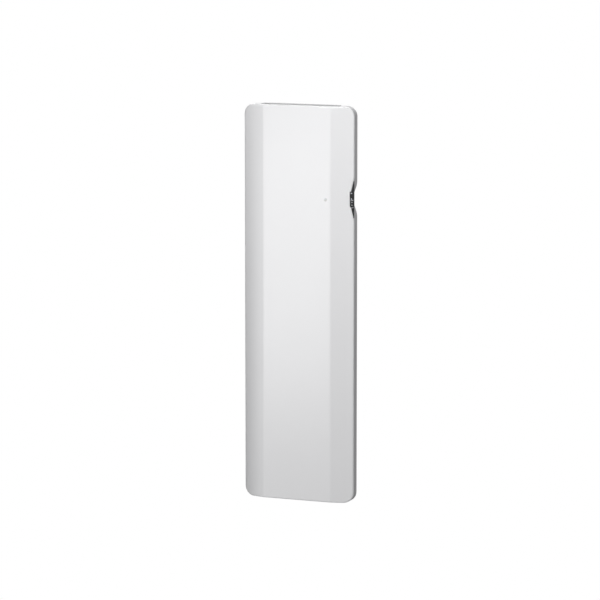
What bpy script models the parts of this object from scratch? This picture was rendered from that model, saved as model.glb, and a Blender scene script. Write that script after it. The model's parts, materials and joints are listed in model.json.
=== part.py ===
"""Wall-hung vertical electric radiator with a side control.

Frame: +X to the right of someone who faces it, +Y into the wall, +Z up. The origin is on the wall, behind
the middle of the radiator. Sizes are in metres, and pieces that touch are drawn GAP apart. Everything that
tips forward with the radiator hangs on the empty tilt_axis. Each other moving piece hangs on an empty on its
own axis.
"""

import math

import bmesh
import bpy
from mathutils import Matrix, Vector

# Driving dimensions
HEIGHT = 1.500
WIDTH = 0.440
CORNER_R = 0.038
FLANK_WIDTH = 0.0835
FLANK_ANGLE = math.radians(14.9)
BEND_R = 0.045
SHEET = 0.0012
GAP = 0.0003

HALF_W = WIDTH / 2
HALF_H = HEIGHT / 2
CREASE_X = HALF_W - FLANK_WIDTH
CORNER_STEPS = 6

# Depths, all measured from the wall
FRONT_Y = -0.086
LIP_Y = -0.058
RIM_Y = -0.0575
TONGUE_Y = -0.0595
BACK_Y = -0.024
ON_BACK_Y = BACK_Y + GAP
INSIDE_BACK_Y = BACK_Y - SHEET - GAP
EDGE_R = 0.005
BACK_EDGE_R = 0.004

# Control notch in the right edge: (depth, half length of its flat floor, half length at its mouth,
# further depth of the step beside the control). The step's half length shrinks over STEP_ENDS.
NOTCH_Z = 0.404
NOTCH_FRONT = (0.0115, 0.015, 0.090, 0.0035)
NOTCH_BACK = (0.0150, 0.002, 0.066, 0.0)
NOTCH_STEPS = 8
STEP_ENDS = (0.0275, 0.0320)

# Air vents in the top and the bottom
VENT_Y = -0.041
VENT_SIZE = (0.300, 0.025)
SLOT_SIZE = (0.0082, 0.0215)
SLOT_COUNT = 24
SLOT_PITCH = 0.0122

# Control face: it lies parallel to the right flank, a little below its surface
FACE_X = HALF_W - 0.0072
FACE_RECESS = 0.0017
FASCIA_THICKNESS = 0.0018
CONTROL_REACH = 0.070
HOUSING_ARM = ((0.170, -0.0576, NOTCH_Z - 0.0285), (0.2067, -0.0468, NOTCH_Z + 0.0285))
ARM_CLEARANCE = 0.0006
KEY_ZS = {"upper_key": NOTCH_Z - 0.0103, "lower_key": NOTCH_Z - 0.0203}
KEY_R = 0.0032
WINDOW_Z = NOTCH_Z + 0.0130
WINDOW_SIZE = (0.0096, 0.0280)
BOARD_WIDTH = 0.0088

# Presence sensor, in the flat centre of the front
SENSOR_X = 0.115
SENSOR_Z = 0.402
LENS_R = 0.0058
LENS_PROUD = 0.0018

# Heating
FILM_SIZE = (0.196, 1.360)
ELEMENT_ZS = {"lower": -0.52, "middle": -0.16, "upper": 0.20}
ELEMENT_SIZE = (0.280, 0.110)
ELEMENT_Y = (-0.066, -0.040)
FIN = 0.003
FIN_COUNT = 19
RAIL_X = (0.1435, 0.1635)
RAIL_FRONT_Y = -0.058
RAIL_HALF_H = 0.660
RAIL_SCREW = (0.154, 0.620)
BUSH_Y = -0.053
BUSH_SPIGOT_R = 0.003
SCREW_R = 0.002

# Rocker switch in the back, behind the control
ROCKER = (0.176, -0.0245, NOTCH_Z)
ROCKER_OFF = math.radians(-6)
ROCKER_TUB = (0.016, 0.022)

# Mains cable, through the back below the elements
CABLE_X = 0.190
CABLE_Z = -0.600
CABLE_R = 0.0039
CABLE_TAIL_Y = -0.0125
CABLE_BEND_R = 0.0075
CABLE_TAIL = 0.090
GLAND_R = 0.008

# Wall bracket, with the pivot rod at its foot and the latches at its head
BRACKET_HALF_W = 0.125
BRACKET_Z = (-0.705, 0.640)
BRACKET_SHEET = 0.002
PIVOT = (0.0, -0.012, -0.690)
ROD_R = 0.004
ROD_HALF_LENGTH = 0.150
EAR_X = (0.101, 0.104)
HOOK_X = 0.130
HOOK_THICKNESS = 0.003
LATCH_X = 0.110
LATCH_Z = 0.600
LATCH_LEAN = math.radians(30)
LATCH_Y = (-0.0125, -0.0100)
LATCH_LENGTH = 0.128
LATCH_HALF_W = 0.009
LATCH_TAB_Y = -0.0205
CATCH_RADIUS = 0.055
RIVET_R = 0.003

SIDES = {"left": -1, "right": 1}
ACROSS = (1, 0, 0)
INWARDS = (0, 1, 0)
UPWARDS = (0, 0, 1)
RADIATOR = "tilt_axis"

# Finishes: colour, roughness, metallic
FINISHES = {
    "panel_white": ((0.84, 0.84, 0.85), 0.45, 0.0),
    "casing_grey": ((0.50, 0.50, 0.51), 0.5, 0.0),
    "grille_grey": ((0.50, 0.50, 0.51), 0.5, 0.0),
    "black_plastic": ((0.02, 0.02, 0.022), 0.45, 0.0),
    "fascia_black": ((0.01, 0.01, 0.012), 0.15, 0.0),
    "display_window": ((0.03, 0.03, 0.035), 0.08, 0.0),
    "display": ((0.02, 0.02, 0.025), 0.3, 0.0),
    "key_black": ((0.03, 0.03, 0.033), 0.35, 0.0),
    "sensor_lens": ((0.80, 0.81, 0.80), 0.3, 0.0),
    "circuit_board": ((0.02, 0.16, 0.07), 0.4, 0.0),
    "heating_film": ((0.45, 0.22, 0.05), 0.35, 0.0),
    "foil": ((0.80, 0.80, 0.82), 0.3, 0.9),
    "cast_aluminium": ((0.60, 0.61, 0.62), 0.45, 0.9),
    "zinc_steel": ((0.62, 0.63, 0.65), 0.4, 1.0),
    "ceramic": ((0.85, 0.82, 0.74), 0.5, 0.0),
    "nylon": ((0.80, 0.79, 0.74), 0.5, 0.0),
    "cable_sheath": ((0.62, 0.62, 0.63), 0.6, 0.0),
    "core_brown": ((0.20, 0.07, 0.03), 0.5, 0.0),
    "core_blue": ((0.02, 0.12, 0.45), 0.5, 0.0),
    "core_black": ((0.02, 0.02, 0.02), 0.5, 0.0),
}


def clear_scene():
    for obj in list(bpy.data.objects):
        bpy.data.objects.remove(obj, do_unlink=True)


def finish_material(finish):
    """The material of that name, made when it is first asked for."""
    if finish in bpy.data.materials:
        return bpy.data.materials[finish]
    colour, roughness, metallic = FINISHES[finish]
    made = bpy.data.materials.new(finish)
    made.use_nodes = True
    shader = made.node_tree.nodes["Principled BSDF"]
    shader.inputs["Base Color"].default_value = (*colour, 1.0)
    shader.inputs["Roughness"].default_value = roughness
    shader.inputs["Metallic"].default_value = metallic
    made.diffuse_color = (*colour, 1.0)
    return made


# Building blocks. A piece given no finish and no parent is a helper, for cutting or joining


def hang(obj, parent):
    """Hangs obj on the empty named parent, and leaves it where it was drawn."""
    holder = bpy.data.objects[parent]
    obj.parent = holder
    obj.matrix_parent_inverse = Matrix.Translation(-holder.location)


def axis_empty(name, location, parent=None):
    empty = bpy.data.objects.new(name, None)
    empty.location = location
    bpy.context.collection.objects.link(empty)
    if parent:
        hang(empty, parent)
    return name


def place(name, data, finish=None, parent=None):
    """Puts a mesh or a curve, drawn in world coordinates, into the scene."""
    if finish:
        data.materials.append(finish_material(finish))
    obj = bpy.data.objects.new(name, data)
    bpy.context.collection.objects.link(obj)
    if parent:
        hang(obj, parent)
    return obj


def place_bmesh(name, bm, finish, parent):
    bmesh.ops.recalc_face_normals(bm, faces=bm.faces)
    mesh = bpy.data.meshes.new(name)
    bm.to_mesh(mesh)
    bm.free()
    mesh.shade_smooth()
    mesh.set_sharp_from_angle(angle=math.radians(35))
    return place(name, mesh, finish, parent)


def combine(obj, helper, operation):
    """Cuts obj with the helper, or joins the helper to it. The helper moves with obj."""
    helper.hide_render = True
    helper.display_type = "WIRE"
    if obj.parent:
        hang(helper, obj.parent.name)
    modifier = obj.modifiers.new(helper.name, "BOOLEAN")
    modifier.operation = operation
    modifier.solver = "EXACT"
    modifier.object = helper


def cut(obj, *helpers):
    for helper in helpers:
        combine(obj, helper, "DIFFERENCE")
    return obj


def join(obj, *helpers):
    for helper in helpers:
        combine(obj, helper, "UNION")
    return obj


def boxes(name, corners, finish=None, parent=None):
    """One object holding a box for each (low corner, high corner)."""
    bm = bmesh.new()
    for low, high in corners:
        centre = (Vector(low) + Vector(high)) / 2
        size = Vector(high) - Vector(low)
        matrix = Matrix.Translation(centre) @ Matrix.Diagonal((*size, 1.0))
        bmesh.ops.create_cube(bm, size=1.0, matrix=matrix)
    return place_bmesh(name, bm, finish, parent)


def box(name, low, high, finish=None, parent=None):
    return boxes(name, [(low, high)], finish, parent)


def box_round(name, centre, size, finish=None, parent=None):
    """A box of that size round its centre."""
    half = Vector(size) / 2
    return box(name, Vector(centre) - half, Vector(centre) + half, finish, parent)


def loft(name, rings, finish=None, parent=None, closed=False):
    """A skin over rings of points. It has a cap at each end, or runs back to its first ring if closed."""
    bm = bmesh.new()
    verts = [[bm.verts.new(point) for point in ring] for ring in rings]
    pairs = list(zip(verts, verts[1:]))
    if closed:
        pairs.append((verts[-1], verts[0]))
    for low, high in pairs:
        for i in range(len(low)):
            j = (i + 1) % len(low)
            bm.faces.new((low[i], low[j], high[j], high[i]))
    if not closed:
        bm.faces.new(verts[0])
        bm.faces.new(verts[-1])
    return place_bmesh(name, bm, finish, parent)


def prism(name, points, axis, start, end, finish=None, parent=None):
    """A flat outline pushed along one axis. Its two numbers are the other two axes, in X, Y, Z order."""

    def at(a, b, along):
        order = {"X": (along, a, b), "Y": (a, along, b), "Z": (a, b, along)}
        return order[axis]

    rings = [[at(a, b, along) for a, b in points] for along in (start, end)]
    return loft(name, rings, finish, parent)


def turned(name, profile, centre, direction, finish=None, parent=None, sides=20, closed=False):
    """A round piece. Its profile's points are (radius, distance along direction from centre)."""
    turn = Vector(UPWARDS).rotation_difference(Vector(direction)).to_matrix()
    angles = [2 * math.pi * i / sides for i in range(sides)]
    rings = []
    for radius, along in profile:
        circle = [Vector((radius * math.cos(a), radius * math.sin(a), along)) for a in angles]
        rings.append([turn @ point + Vector(centre) for point in circle])
    return loft(name, rings, finish, parent, closed)


def drum(name, radius, start, end, centre, direction, sides=20):
    return turned(name, [(radius, start), (radius, end)], centre, direction, sides=sides)


def cable(name, points, radius, finish, parent):
    """A round cable that bends smoothly through its points."""
    curve = bpy.data.curves.new(name, "CURVE")
    curve.dimensions = "3D"
    curve.bevel_depth = radius
    curve.bevel_resolution = 2
    curve.resolution_u = 5
    curve.use_fill_caps = True
    spline = curve.splines.new("BEZIER")
    spline.bezier_points.add(len(points) - 1)
    for knot, point in zip(spline.bezier_points, points):
        knot.co = point
        knot.handle_left_type = "AUTO"
        knot.handle_right_type = "AUTO"
    return place(name, curve, finish, parent)


def arc(centre, radius, start, end, steps):
    """Points on an arc, angles in degrees."""
    angles = [math.radians(start + (end - start) * i / steps) for i in range(steps + 1)]
    return [(centre[0] + radius * math.cos(a), centre[1] + radius * math.sin(a)) for a in angles]


# The shared outline of the shell


def fade(away, start, end):
    """A smooth fall from 1 at start to 0 at end."""
    along = min(max((away - start) / (end - start), 0.0), 1.0)
    return (1 + math.cos(math.pi * along)) / 2


def notch_depth(z, notch):
    """How far the notch reaches in at a height: a broad hollow, and a step in the middle of it."""
    depth, floor, mouth, step = notch
    away = abs(z - NOTCH_Z)
    return depth * fade(away, floor, mouth) + step * fade(away, *STEP_ENDS)


def notch_heights():
    """Levels at which the notch is drawn: close together at its step, and wider apart along its ramps."""
    start, end = STEP_ENDS
    mouth = NOTCH_FRONT[2]
    away = [start * share for share in (0.3, 0.65)]
    away += [start + (end - start) * i / 4 for i in range(5)]
    away += [end + (mouth - end) * (i + 1) / NOTCH_STEPS for i in range(NOTCH_STEPS)]
    return [NOTCH_Z - z for z in reversed(away)] + [NOTCH_Z + z for z in away]


def share_back(y):
    """How far y lies from the front panel's lip towards the back: 0 at the lip, and 1 at the back."""
    return min(max((y - LIP_Y) / (BACK_Y - LIP_Y), 0.0), 1.0)


def notch_at(y):
    """The notch changes evenly from the front panel's lip to the back."""
    share = share_back(y)
    return tuple(a + (b - a) * share for a, b in zip(NOTCH_FRONT, NOTCH_BACK))


def scoop_depth(y, z):
    """How far the casing's side is hollowed at a point in the notch."""
    front = notch_depth(z, NOTCH_FRONT)
    back = notch_depth(z, NOTCH_BACK)
    return front + (back - front) * share_back(y)


def outline(inset, notch):
    """The radiator's outline seen from the front, as (x, z), with the notch in its right side."""
    w = HALF_W - inset
    h = HALF_H - inset
    r = CORNER_R - inset
    points = arc((w - r, -h + r), r, -90, 0, CORNER_STEPS)
    points += [(w - notch_depth(z, notch), z) for z in notch_heights()]
    points += arc((w - r, h - r), r, 0, 90, CORNER_STEPS)
    points += arc((-w + r, h - r), r, 90, 180, CORNER_STEPS)
    points += arc((-w + r, -h + r), r, 180, 270, CORNER_STEPS)
    return points


def outline_ring(inset, y, notch):
    return [(x, y, z) for x, z in outline(inset, notch)]


# Front panel


def bend_start():
    return CREASE_X - BEND_R * math.tan(FLANK_ANGLE / 2)


def fold(x):
    """How far the front panel lies behind its flat centre at x: a soft crease, then a straight flank."""
    past = abs(x) - bend_start()
    if past <= 0:
        return 0.0
    if past < BEND_R * math.sin(FLANK_ANGLE):
        return BEND_R - math.sqrt(BEND_R**2 - past**2)
    return (abs(x) - CREASE_X) * math.tan(FLANK_ANGLE)


def fold_sheet(mesh):
    """Splits a panel drawn flat along its creases, folds it, and squares off the lip behind it."""
    steps = 3
    bm = bmesh.new()
    bm.from_mesh(mesh)
    for i in range(steps + 1):
        crease = bend_start() + BEND_R * math.sin(FLANK_ANGLE * i / steps)
        for x in (-crease, crease):
            everything = bm.verts[:] + bm.edges[:] + bm.faces[:]
            bmesh.ops.bisect_plane(bm, geom=everything, plane_co=(x, 0, 0), plane_no=ACROSS)
    for vert in bm.verts:
        on_lip = vert.co.y > EDGE_R * 1.5
        vert.co.y = LIP_Y if on_lip else FRONT_Y + fold(vert.co.x) + vert.co.y
    bm.to_mesh(mesh)
    bm.free()


def front_panel():
    """A sheet with rounded edges and a lip, and a hole for the presence lens."""
    lip_depth = 2 * EDGE_R
    outside = arc((EDGE_R, EDGE_R), EDGE_R, 270, 180, 3) + [(0.0, lip_depth)]
    inside = [(SHEET, lip_depth)] + arc((EDGE_R, EDGE_R), EDGE_R - SHEET, 180, 270, 3)
    rings = [outline_ring(inset, depth, NOTCH_FRONT) for inset, depth in outside + inside]
    panel = loft("front_panel", rings, "panel_white", RADIATOR)
    fold_sheet(panel.data)
    lens_hole = drum("lens_hole", LENS_R + 0.0004, -0.004, 0.004, (SENSOR_X, FRONT_Y, SENSOR_Z), INWARDS)
    cut(panel, lens_hole)


# Rear casing and its grilles


def rear_casing():
    """A tray whose rim steps in behind the front panel's lip."""
    tongue = SHEET + 0.0004
    bend = (BACK_EDGE_R, BACK_Y - BACK_EDGE_R)
    outside = [(tongue, TONGUE_Y), (tongue, RIM_Y), (0.0, RIM_Y)]
    outside += arc(bend, BACK_EDGE_R, 180, 90, 2)
    inside = [(tongue + SHEET, TONGUE_Y), (tongue + SHEET, RIM_Y + SHEET), (SHEET, RIM_Y + SHEET)]
    inside += arc(bend, BACK_EDGE_R - SHEET, 180, 90, 2)
    section = outside[::-1] + inside
    rings = [outline_ring(inset, y, notch_at(y)) for inset, y in section]
    casing = loft("rear_casing", rings, "casing_grey", RADIATOR)
    cut(casing, vent_openings(), control_opening(), switch_opening(), gland_opening(), *rail_screw_holes())


def vent_openings():
    width, depth = VENT_SIZE
    wall = 0.02
    corners = []
    for z in (-HALF_H, HALF_H):
        low = (-width / 2, VENT_Y - depth / 2, z - wall / 2)
        high = (width / 2, VENT_Y + depth / 2, z + wall / 2)
        corners.append((low, high))
    return boxes("vent_openings", corners)


def control_opening():
    """The way in through the side for the control housing's arm."""
    (_, front, low), (_, back, high) = HOUSING_ARM
    in_side_wall = HALF_W - 0.030
    outside = HALF_W + 0.010
    return box(
        "control_opening",
        (in_side_wall, min(front, TONGUE_Y) - 0.0025, low - ARM_CLEARANCE),
        (outside, back + 0.0005, high + ARM_CLEARANCE),
    )


def switch_opening():
    x, _, z = ROCKER
    width, height = ROCKER_TUB
    return box_round("switch_opening", (x, BACK_Y, z), (width + 2 * GAP, 0.012, height + 2 * GAP))


def gland_opening():
    return drum("gland_opening", GLAND_R + GAP, -0.01, 0.01, (CABLE_X, BACK_Y, CABLE_Z), INWARDS)


def rail_screw_places():
    x, z = RAIL_SCREW
    return [(side * x, level * z) for side in (-1, 1) for level in (-1, 1)]


def rail_screw_holes(side=0):
    """Holes for the rail screws: all of them, or those on one side."""
    return [
        drum("rail_screw_hole", SCREW_R + GAP, -0.01, 0.01, (x, BACK_Y, z), INWARDS, 12)
        for x, z in rail_screw_places()
        if side * x >= 0
    ]


def grille(name, margin, low_z, thickness):
    """A plate over a vent with a row of slots. It reaches past the vent by the margin."""
    width, depth = VENT_SIZE
    plate_size = (width + 2 * margin[0], depth + 2 * margin[1], thickness)
    middle_z = low_z + thickness / 2
    plate = box_round(name, (0, VENT_Y, middle_z), plate_size, "grille_grey", RADIATOR)
    slot_width, slot_depth = SLOT_SIZE
    corners = []
    for i in range(SLOT_COUNT):
        x = (i - (SLOT_COUNT - 1) / 2) * SLOT_PITCH
        low = (x - slot_width / 2, VENT_Y - slot_depth / 2, middle_z - 0.003)
        high = (x + slot_width / 2, VENT_Y + slot_depth / 2, middle_z + 0.003)
        corners.append((low, high))
    cut(plate, boxes(f"{name}_slots", corners))


def grilles():
    """The outlet lies on top of the casing, and the inlet inside its floor."""
    grille("top_outlet_grille", (0.006, 0.002), HALF_H + GAP, 0.0022)
    grille("bottom_inlet_grille", (0.003, 0.0), -HALF_H + SHEET + GAP, 0.0015)


# Heating


def heating_film():
    """The film bonded behind the flat centre, and the foil-faced blanket behind it."""
    width, height = FILM_SIZE
    blanket_rim = 0.004
    film_y = FRONT_Y + SHEET + 0.0007
    box_round("front_heating_film", (0, film_y, 0), (width, 0.0008, height), "heating_film", RADIATOR)
    blanket = (width + blanket_rim, 0.006, height + 5 * blanket_rim)
    box_round("film_insulation", (0, film_y + 0.0037, 0), blanket, "foil", RADIATOR)


def heating_element(level, z):
    """A casting with a plain front and upright fins behind."""
    width, height = ELEMENT_SIZE
    front, back = ELEMENT_Y
    plate_y = front + 0.006
    pitch = (width - FIN) / (FIN_COUNT - 1)
    points = [(-width / 2, front), (width / 2, front)]
    for i in reversed(range(FIN_COUNT)):
        left = -width / 2 + i * pitch
        right = left + FIN
        last = i == FIN_COUNT - 1
        first = i == 0
        points += [] if last else [(right, plate_y)]
        points += [(right, back), (left, back)]
        points += [] if first else [(left, plate_y)]
    name = f"heating_element_{level}"
    prism(name, points, "Z", z - height / 2, z + height / 2, "cast_aluminium", RADIATOR)


def element_rail(side_name, side):
    """An upright channel, open outwards, with a hole for each element bush and each screw."""
    inner, outer = (side * x for x in RAIL_X)
    web = inner + side * SHEET
    points = [(outer, RAIL_FRONT_Y), (inner, RAIL_FRONT_Y), (inner, INSIDE_BACK_Y), (outer, INSIDE_BACK_Y)]
    points += [(outer, INSIDE_BACK_Y - SHEET), (web, INSIDE_BACK_Y - SHEET)]
    points += [(web, RAIL_FRONT_Y + SHEET), (outer, RAIL_FRONT_Y + SHEET)]
    name = f"element_rail_{side_name}"
    rail = prism(name, points, "Z", -RAIL_HALF_H, RAIL_HALF_H, "zinc_steel", RADIATOR)
    for z in ELEMENT_ZS.values():
        cut(rail, drum("bush_hole", BUSH_SPIGOT_R + GAP, -0.005, 0.005, (inner, BUSH_Y, z), ACROSS, 16))
    cut(rail, *rail_screw_holes(side))


def element_bush(level, z, side_name, side):
    """A ceramic collar between an element and its rail, with a spigot in the rail's hole."""
    face = ELEMENT_SIZE[0] / 2 + GAP
    collar = RAIL_X[0] - GAP
    collar_r = 2 * BUSH_SPIGOT_R
    profile = [(collar_r, face), (collar_r, collar)]
    profile += [(BUSH_SPIGOT_R, collar), (BUSH_SPIGOT_R, collar + 0.004)]
    name = f"element_bush_{level}_{side_name}"
    turned(name, profile, (0, BUSH_Y, z), (side, 0, 0), "ceramic", RADIATOR, 16)


def heat_shield():
    """A bright sheet between the elements and the casing, with its two long edges turned forward."""
    back = INSIDE_BACK_Y - 0.0040
    front = back - 0.0065
    x = RAIL_X[0] - 0.0055
    half_h = 0.640
    thin = 0.0005
    points = [(-x, front), (-x, back), (x, back), (x, front), (x - thin, front), (x - thin, back - thin)]
    points += [(-x + thin, back - thin), (-x + thin, front)]
    prism("heat_shield", points, "Z", -half_h, half_h, "foil", RADIATOR)


def thermal_cutout():
    """A bimetal disc on a small foot on top of the upper element, with two blade terminals."""
    top = ELEMENT_ZS["upper"] + ELEMENT_SIZE[1] / 2 + GAP
    y = -0.062
    can_z = top + 0.009
    foot_size = (0.036, 0.006, 0.0015)
    foot = box_round("thermal_cutout", (0, y, top + foot_size[2] / 2), foot_size, "zinc_steel", RADIATOR)
    can = drum("cutout_can", 0.008, -0.0065, 0.0065, (0, y, can_z), INWARDS)
    blade_x = 0.00575
    blade_size = (0.0005, 0.009, 0.006)
    join(foot, can)
    for x in (-blade_x, blade_x):
        join(foot, box_round("cutout_blade", (x, y + 0.0095, can_z + 0.001), blade_size))


def rail_screws():
    """Pan-head screws, driven from behind, that hold the rails to the casing."""
    head_r = 2 * SCREW_R
    profile = [(SCREW_R, -0.008), (SCREW_R, 0.0), (head_r, 0.0), (head_r, 0.0016), (0.0026, 0.0024)]
    for index, (x, z) in enumerate(rail_screw_places()):
        turned(f"rail_screw_{index + 1}", profile, (x, ON_BACK_Y, z), INWARDS, "zinc_steel", RADIATOR, 12)


# Control


def face_frame():
    """The control face's own axes: across it, out of it, and the point where both are measured from."""
    across = Vector((math.cos(FLANK_ANGLE), math.sin(FLANK_ANGLE), 0))
    out = Vector((math.sin(FLANK_ANGLE), -math.cos(FLANK_ANGLE), 0))
    middle = Vector((FACE_X, FRONT_Y + fold(FACE_X), 0))
    return across, out, middle


def face_block(name, width, heights, depths, finish=None, parent=None):
    """A block square to the control face, centred across it, between two heights and two depths."""
    across, out, middle = face_frame()
    top, bottom = depths
    corners = [(-width / 2, top), (width / 2, top), (width / 2, bottom), (-width / 2, bottom)]
    rings = []
    for z in heights:
        rings.append([middle + across * a - out * depth + Vector((0, 0, z)) for a, depth in corners])
    return loft(name, rings, finish, parent)


def face_drum(name, profile, z, finish=None, parent=None):
    """A round piece square to the control face. Its profile runs inwards, as (radius, depth)."""
    _, out, middle = face_frame()
    return turned(name, profile, middle + Vector((0, 0, z)), -out, finish, parent)


def control_heights():
    """Levels along the notch where the control face is at least a sliver wide."""
    return [z for z in notch_heights() if abs(z - NOTCH_Z) < CONTROL_REACH]


def window_heights(clearance=0.0):
    half = WINDOW_SIZE[1] / 2 - clearance
    return WINDOW_Z - half, WINDOW_Z + half


def control_fascia():
    """The plate that fills the notch, with its straight outer edge in line with the radiator's side."""
    rings = []
    for z in control_heights():
        inner = HALF_W - notch_depth(z, NOTCH_FRONT) + GAP
        outer = HALF_W - GAP
        front, back = (
            [(x, FRONT_Y + fold(x) + depth, z) for x in (inner, outer)]
            for depth in (FACE_RECESS, FACE_RECESS + FASCIA_THICKNESS)
        )
        rings.append(front + back[::-1])
    fascia = loft("control_fascia", rings, "fascia_black", RADIATOR)
    through = (-0.002, 0.008)
    window = face_block("window_opening", WINDOW_SIZE[0], window_heights(), through)
    bore = [(KEY_R + GAP, depth) for depth in through]
    cut(fascia, window, *(face_drum("key_opening", bore, z) for z in KEY_ZS.values()))


def housing_section(z):
    """The control housing's section at a height: thin at its tails, and deep at the notch's floor."""
    _, floor, mouth, _ = NOTCH_FRONT
    depth = notch_depth(z, NOTCH_FRONT)
    fullness = fade(abs(z - NOTCH_Z), floor, mouth)
    top = FACE_RECESS + FASCIA_THICKNESS + GAP
    inner = HALF_W - depth + GAP
    outer = HALF_W - GAP
    belly = outer - (outer - inner) * 0.15
    front_in = FRONT_Y + fold(inner) + top
    front_out = FRONT_Y + fold(outer) + top
    root_y = max(front_in + 0.0024 + 0.0150 * fullness, LIP_Y)
    root_x = HALF_W - scoop_depth(root_y, z) + 2 * GAP
    return [
        (inner, front_in, z),
        (outer, front_out, z),
        (outer, front_out + 0.0012 + 0.0016 * fullness, z),
        (belly, front_out + 0.0016 + 0.0070 * fullness, z),
        (root_x, root_y, z),
    ]


def control_housing():
    """The moulding behind the fascia: it fills the notch, and reaches into the casing through its side."""
    rings = [housing_section(z) for z in control_heights()]
    housing = loft("control_housing", rings, "black_plastic", RADIATOR)
    join(housing, box("housing_arm", *HOUSING_ARM))
    cut(housing, face_block("housing_pocket", 0.0100, (NOTCH_Z - 0.0285, NOTCH_Z + 0.0285), (0.002, 0.0105)))


def display():
    """The clear window in the fascia, and the display module behind it."""
    width = WINDOW_SIZE[0] - 2 * GAP
    face_block("display_window", width, window_heights(GAP), (0.0019, 0.0032), "display_window", RADIATOR)
    face_block("display_module", BOARD_WIDTH, window_heights(), (0.0043, 0.0066), "display", RADIATOR)


def control_board():
    """A narrow board with a tact switch under each key."""
    heights = (NOTCH_Z - 0.0275, NOTCH_Z + 0.0275)
    board = face_block("control_board", BOARD_WIDTH, heights, (0.0082, 0.0092), "circuit_board", RADIATOR)
    switch = 0.0050
    for z in KEY_ZS.values():
        join(board, face_block("tact_switch", switch, (z - switch / 2, z + switch / 2), (0.0066, 0.0085)))


def key(name, z):
    """A round key: cap through the fascia, flange behind it, stem over its switch."""
    _, out, middle = face_frame()
    on_axis = axis_empty(f"{name}_axis", middle - out * 0.0011 + Vector((0, 0, z)), RADIATOR)
    flange_r = KEY_R + 0.0007
    stem_r = 0.0013
    profile = [(KEY_R - 0.0006, 0.0009), (KEY_R, 0.0013), (KEY_R, 0.0040), (flange_r, 0.0040)]
    profile += [(flange_r, 0.0046), (stem_r, 0.0046), (stem_r, 0.0056)]
    face_drum(name, profile, z, "key_black", on_axis)


def power_board():
    """The mains board below the control, on four posts, with a relay, two capacitors and a connector."""
    x, z = 0.191, 0.230
    width, height = 0.042, 0.140
    top_y, floor_y = -0.0400, -0.0384
    sunk = top_y + 0.0005
    middle = (x, (top_y + floor_y) / 2, z)
    board = box_round("power_board", middle, (width, floor_y - top_y, height), "circuit_board", RADIATOR)
    post_x = width / 2 - 0.0045
    post_z = height / 2 - 0.005
    post_places = [(x + a * post_x, 0, z + b * post_z) for a in (-1, 1) for b in (-1, 1)]
    posts = [drum("board_post", 0.003, floor_y - 0.0006, INSIDE_BACK_Y, at, INWARDS, 12) for at in post_places]
    relay = box("relay", (x - 0.015, -0.0550, z - 0.045), (x + 0.001, sunk, z - 0.015))
    connector = box("connector", (x - 0.013, -0.0480, z + 0.040), (x + 0.013, sunk, z + 0.054))
    choke = box("choke", (x + 0.005, -0.0460, z - 0.040), (x + 0.017, sunk, z - 0.024))
    capacitors = [
        drum("capacitor", 0.0055, -0.0560, sunk, (x + 0.009, 0, z + rise), INWARDS, 16)
        for rise in (-0.002, 0.016)
    ]
    join(board, relay, connector, choke, *posts, *capacitors)


def rocker_switch():
    """A tub through the back of the casing, and a two-position rocker on a cross pin in it."""
    x, y, z = ROCKER
    half_w, half_h = (size / 2 for size in ROCKER_TUB)
    bezel = 0.002
    tub = box(
        "rocker_body", (x - half_w, -0.0420, z - half_h), (x + half_w, ON_BACK_Y + 0.001, z + half_h),
        "black_plastic", RADIATOR,
    )
    join(tub, box(
        "rocker_bezel",
        (x - half_w - bezel, ON_BACK_Y, z - half_h - bezel),
        (x + half_w + bezel, ON_BACK_Y + 0.0018, z + half_h + bezel),
    ))
    well_x = half_w - 0.0018
    well_z = half_h - 0.0014
    cut(tub, box("rocker_well", (x - well_x, -0.0330, z - well_z), (x + well_x, -0.0100, z + well_z)))

    on_axis = axis_empty("rocker_axis", ROCKER, RADIATOR)
    half_length = 0.0088
    rim, dip = 0.0035, 0.0020
    section = [(-0.0045, -half_length), (-0.0045, half_length)]
    section += [(rim, half_length), (dip, 0.0), (rim, -half_length)]
    turn = Matrix.Rotation(ROCKER_OFF, 2)
    points = [turn @ Vector(point) + Vector((y, z)) for point in section]
    cap_x = well_x - GAP
    prism("rocker_cap", points, "X", x - cap_x, x + cap_x, "black_plastic", on_axis)


# Sensors


def presence_sensor():
    """A dome through the front, a cup glued behind it, a sensing can and its small board."""
    at = (SENSOR_X, 0, SENSOR_Z)
    flange_r = LENS_R + 0.0020
    flange_y = FRONT_Y + 0.0015
    dome = []
    for angle in (18, 45, 72, 90):
        turn = math.radians(angle)
        dome.append((LENS_R * math.sin(turn), FRONT_Y - LENS_PROUD * math.cos(turn)))
    dome += [(LENS_R, flange_y), (flange_r, flange_y), (flange_r, flange_y + 0.0010)]
    dome += [(LENS_R - 0.0008, flange_y + 0.0010), (LENS_R - 0.0014, flange_y - 0.0005)]
    turned("presence_lens", dome, at, INWARDS, "sensor_lens", RADIATOR, 24)

    cup_y, floor_y = -0.0845, -0.0735
    wall_r = flange_r + 0.0004
    outer_r = wall_r + 0.0022
    hole_r = 0.0050
    cup = [(wall_r, cup_y), (outer_r, cup_y), (outer_r, floor_y + 0.0013), (hole_r, floor_y + 0.0013)]
    cup += [(hole_r, floor_y), (wall_r, floor_y)]
    turned("presence_holder", cup, at, INWARDS, "black_plastic", RADIATOR, 24, closed=True)

    can_r = 0.0046
    header_r = 0.0040
    can = [(can_r, -0.0805), (can_r, -0.0765), (header_r, -0.0765), (header_r, -0.0722)]
    turned("presence_sensor", can, at, INWARDS, "zinc_steel", RADIATOR, 16)
    board_at = (SENSOR_X, -0.0712, SENSOR_Z)
    box_round("presence_board", board_at, (0.026, 0.0012, 0.022), "circuit_board", RADIATOR)


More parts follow.
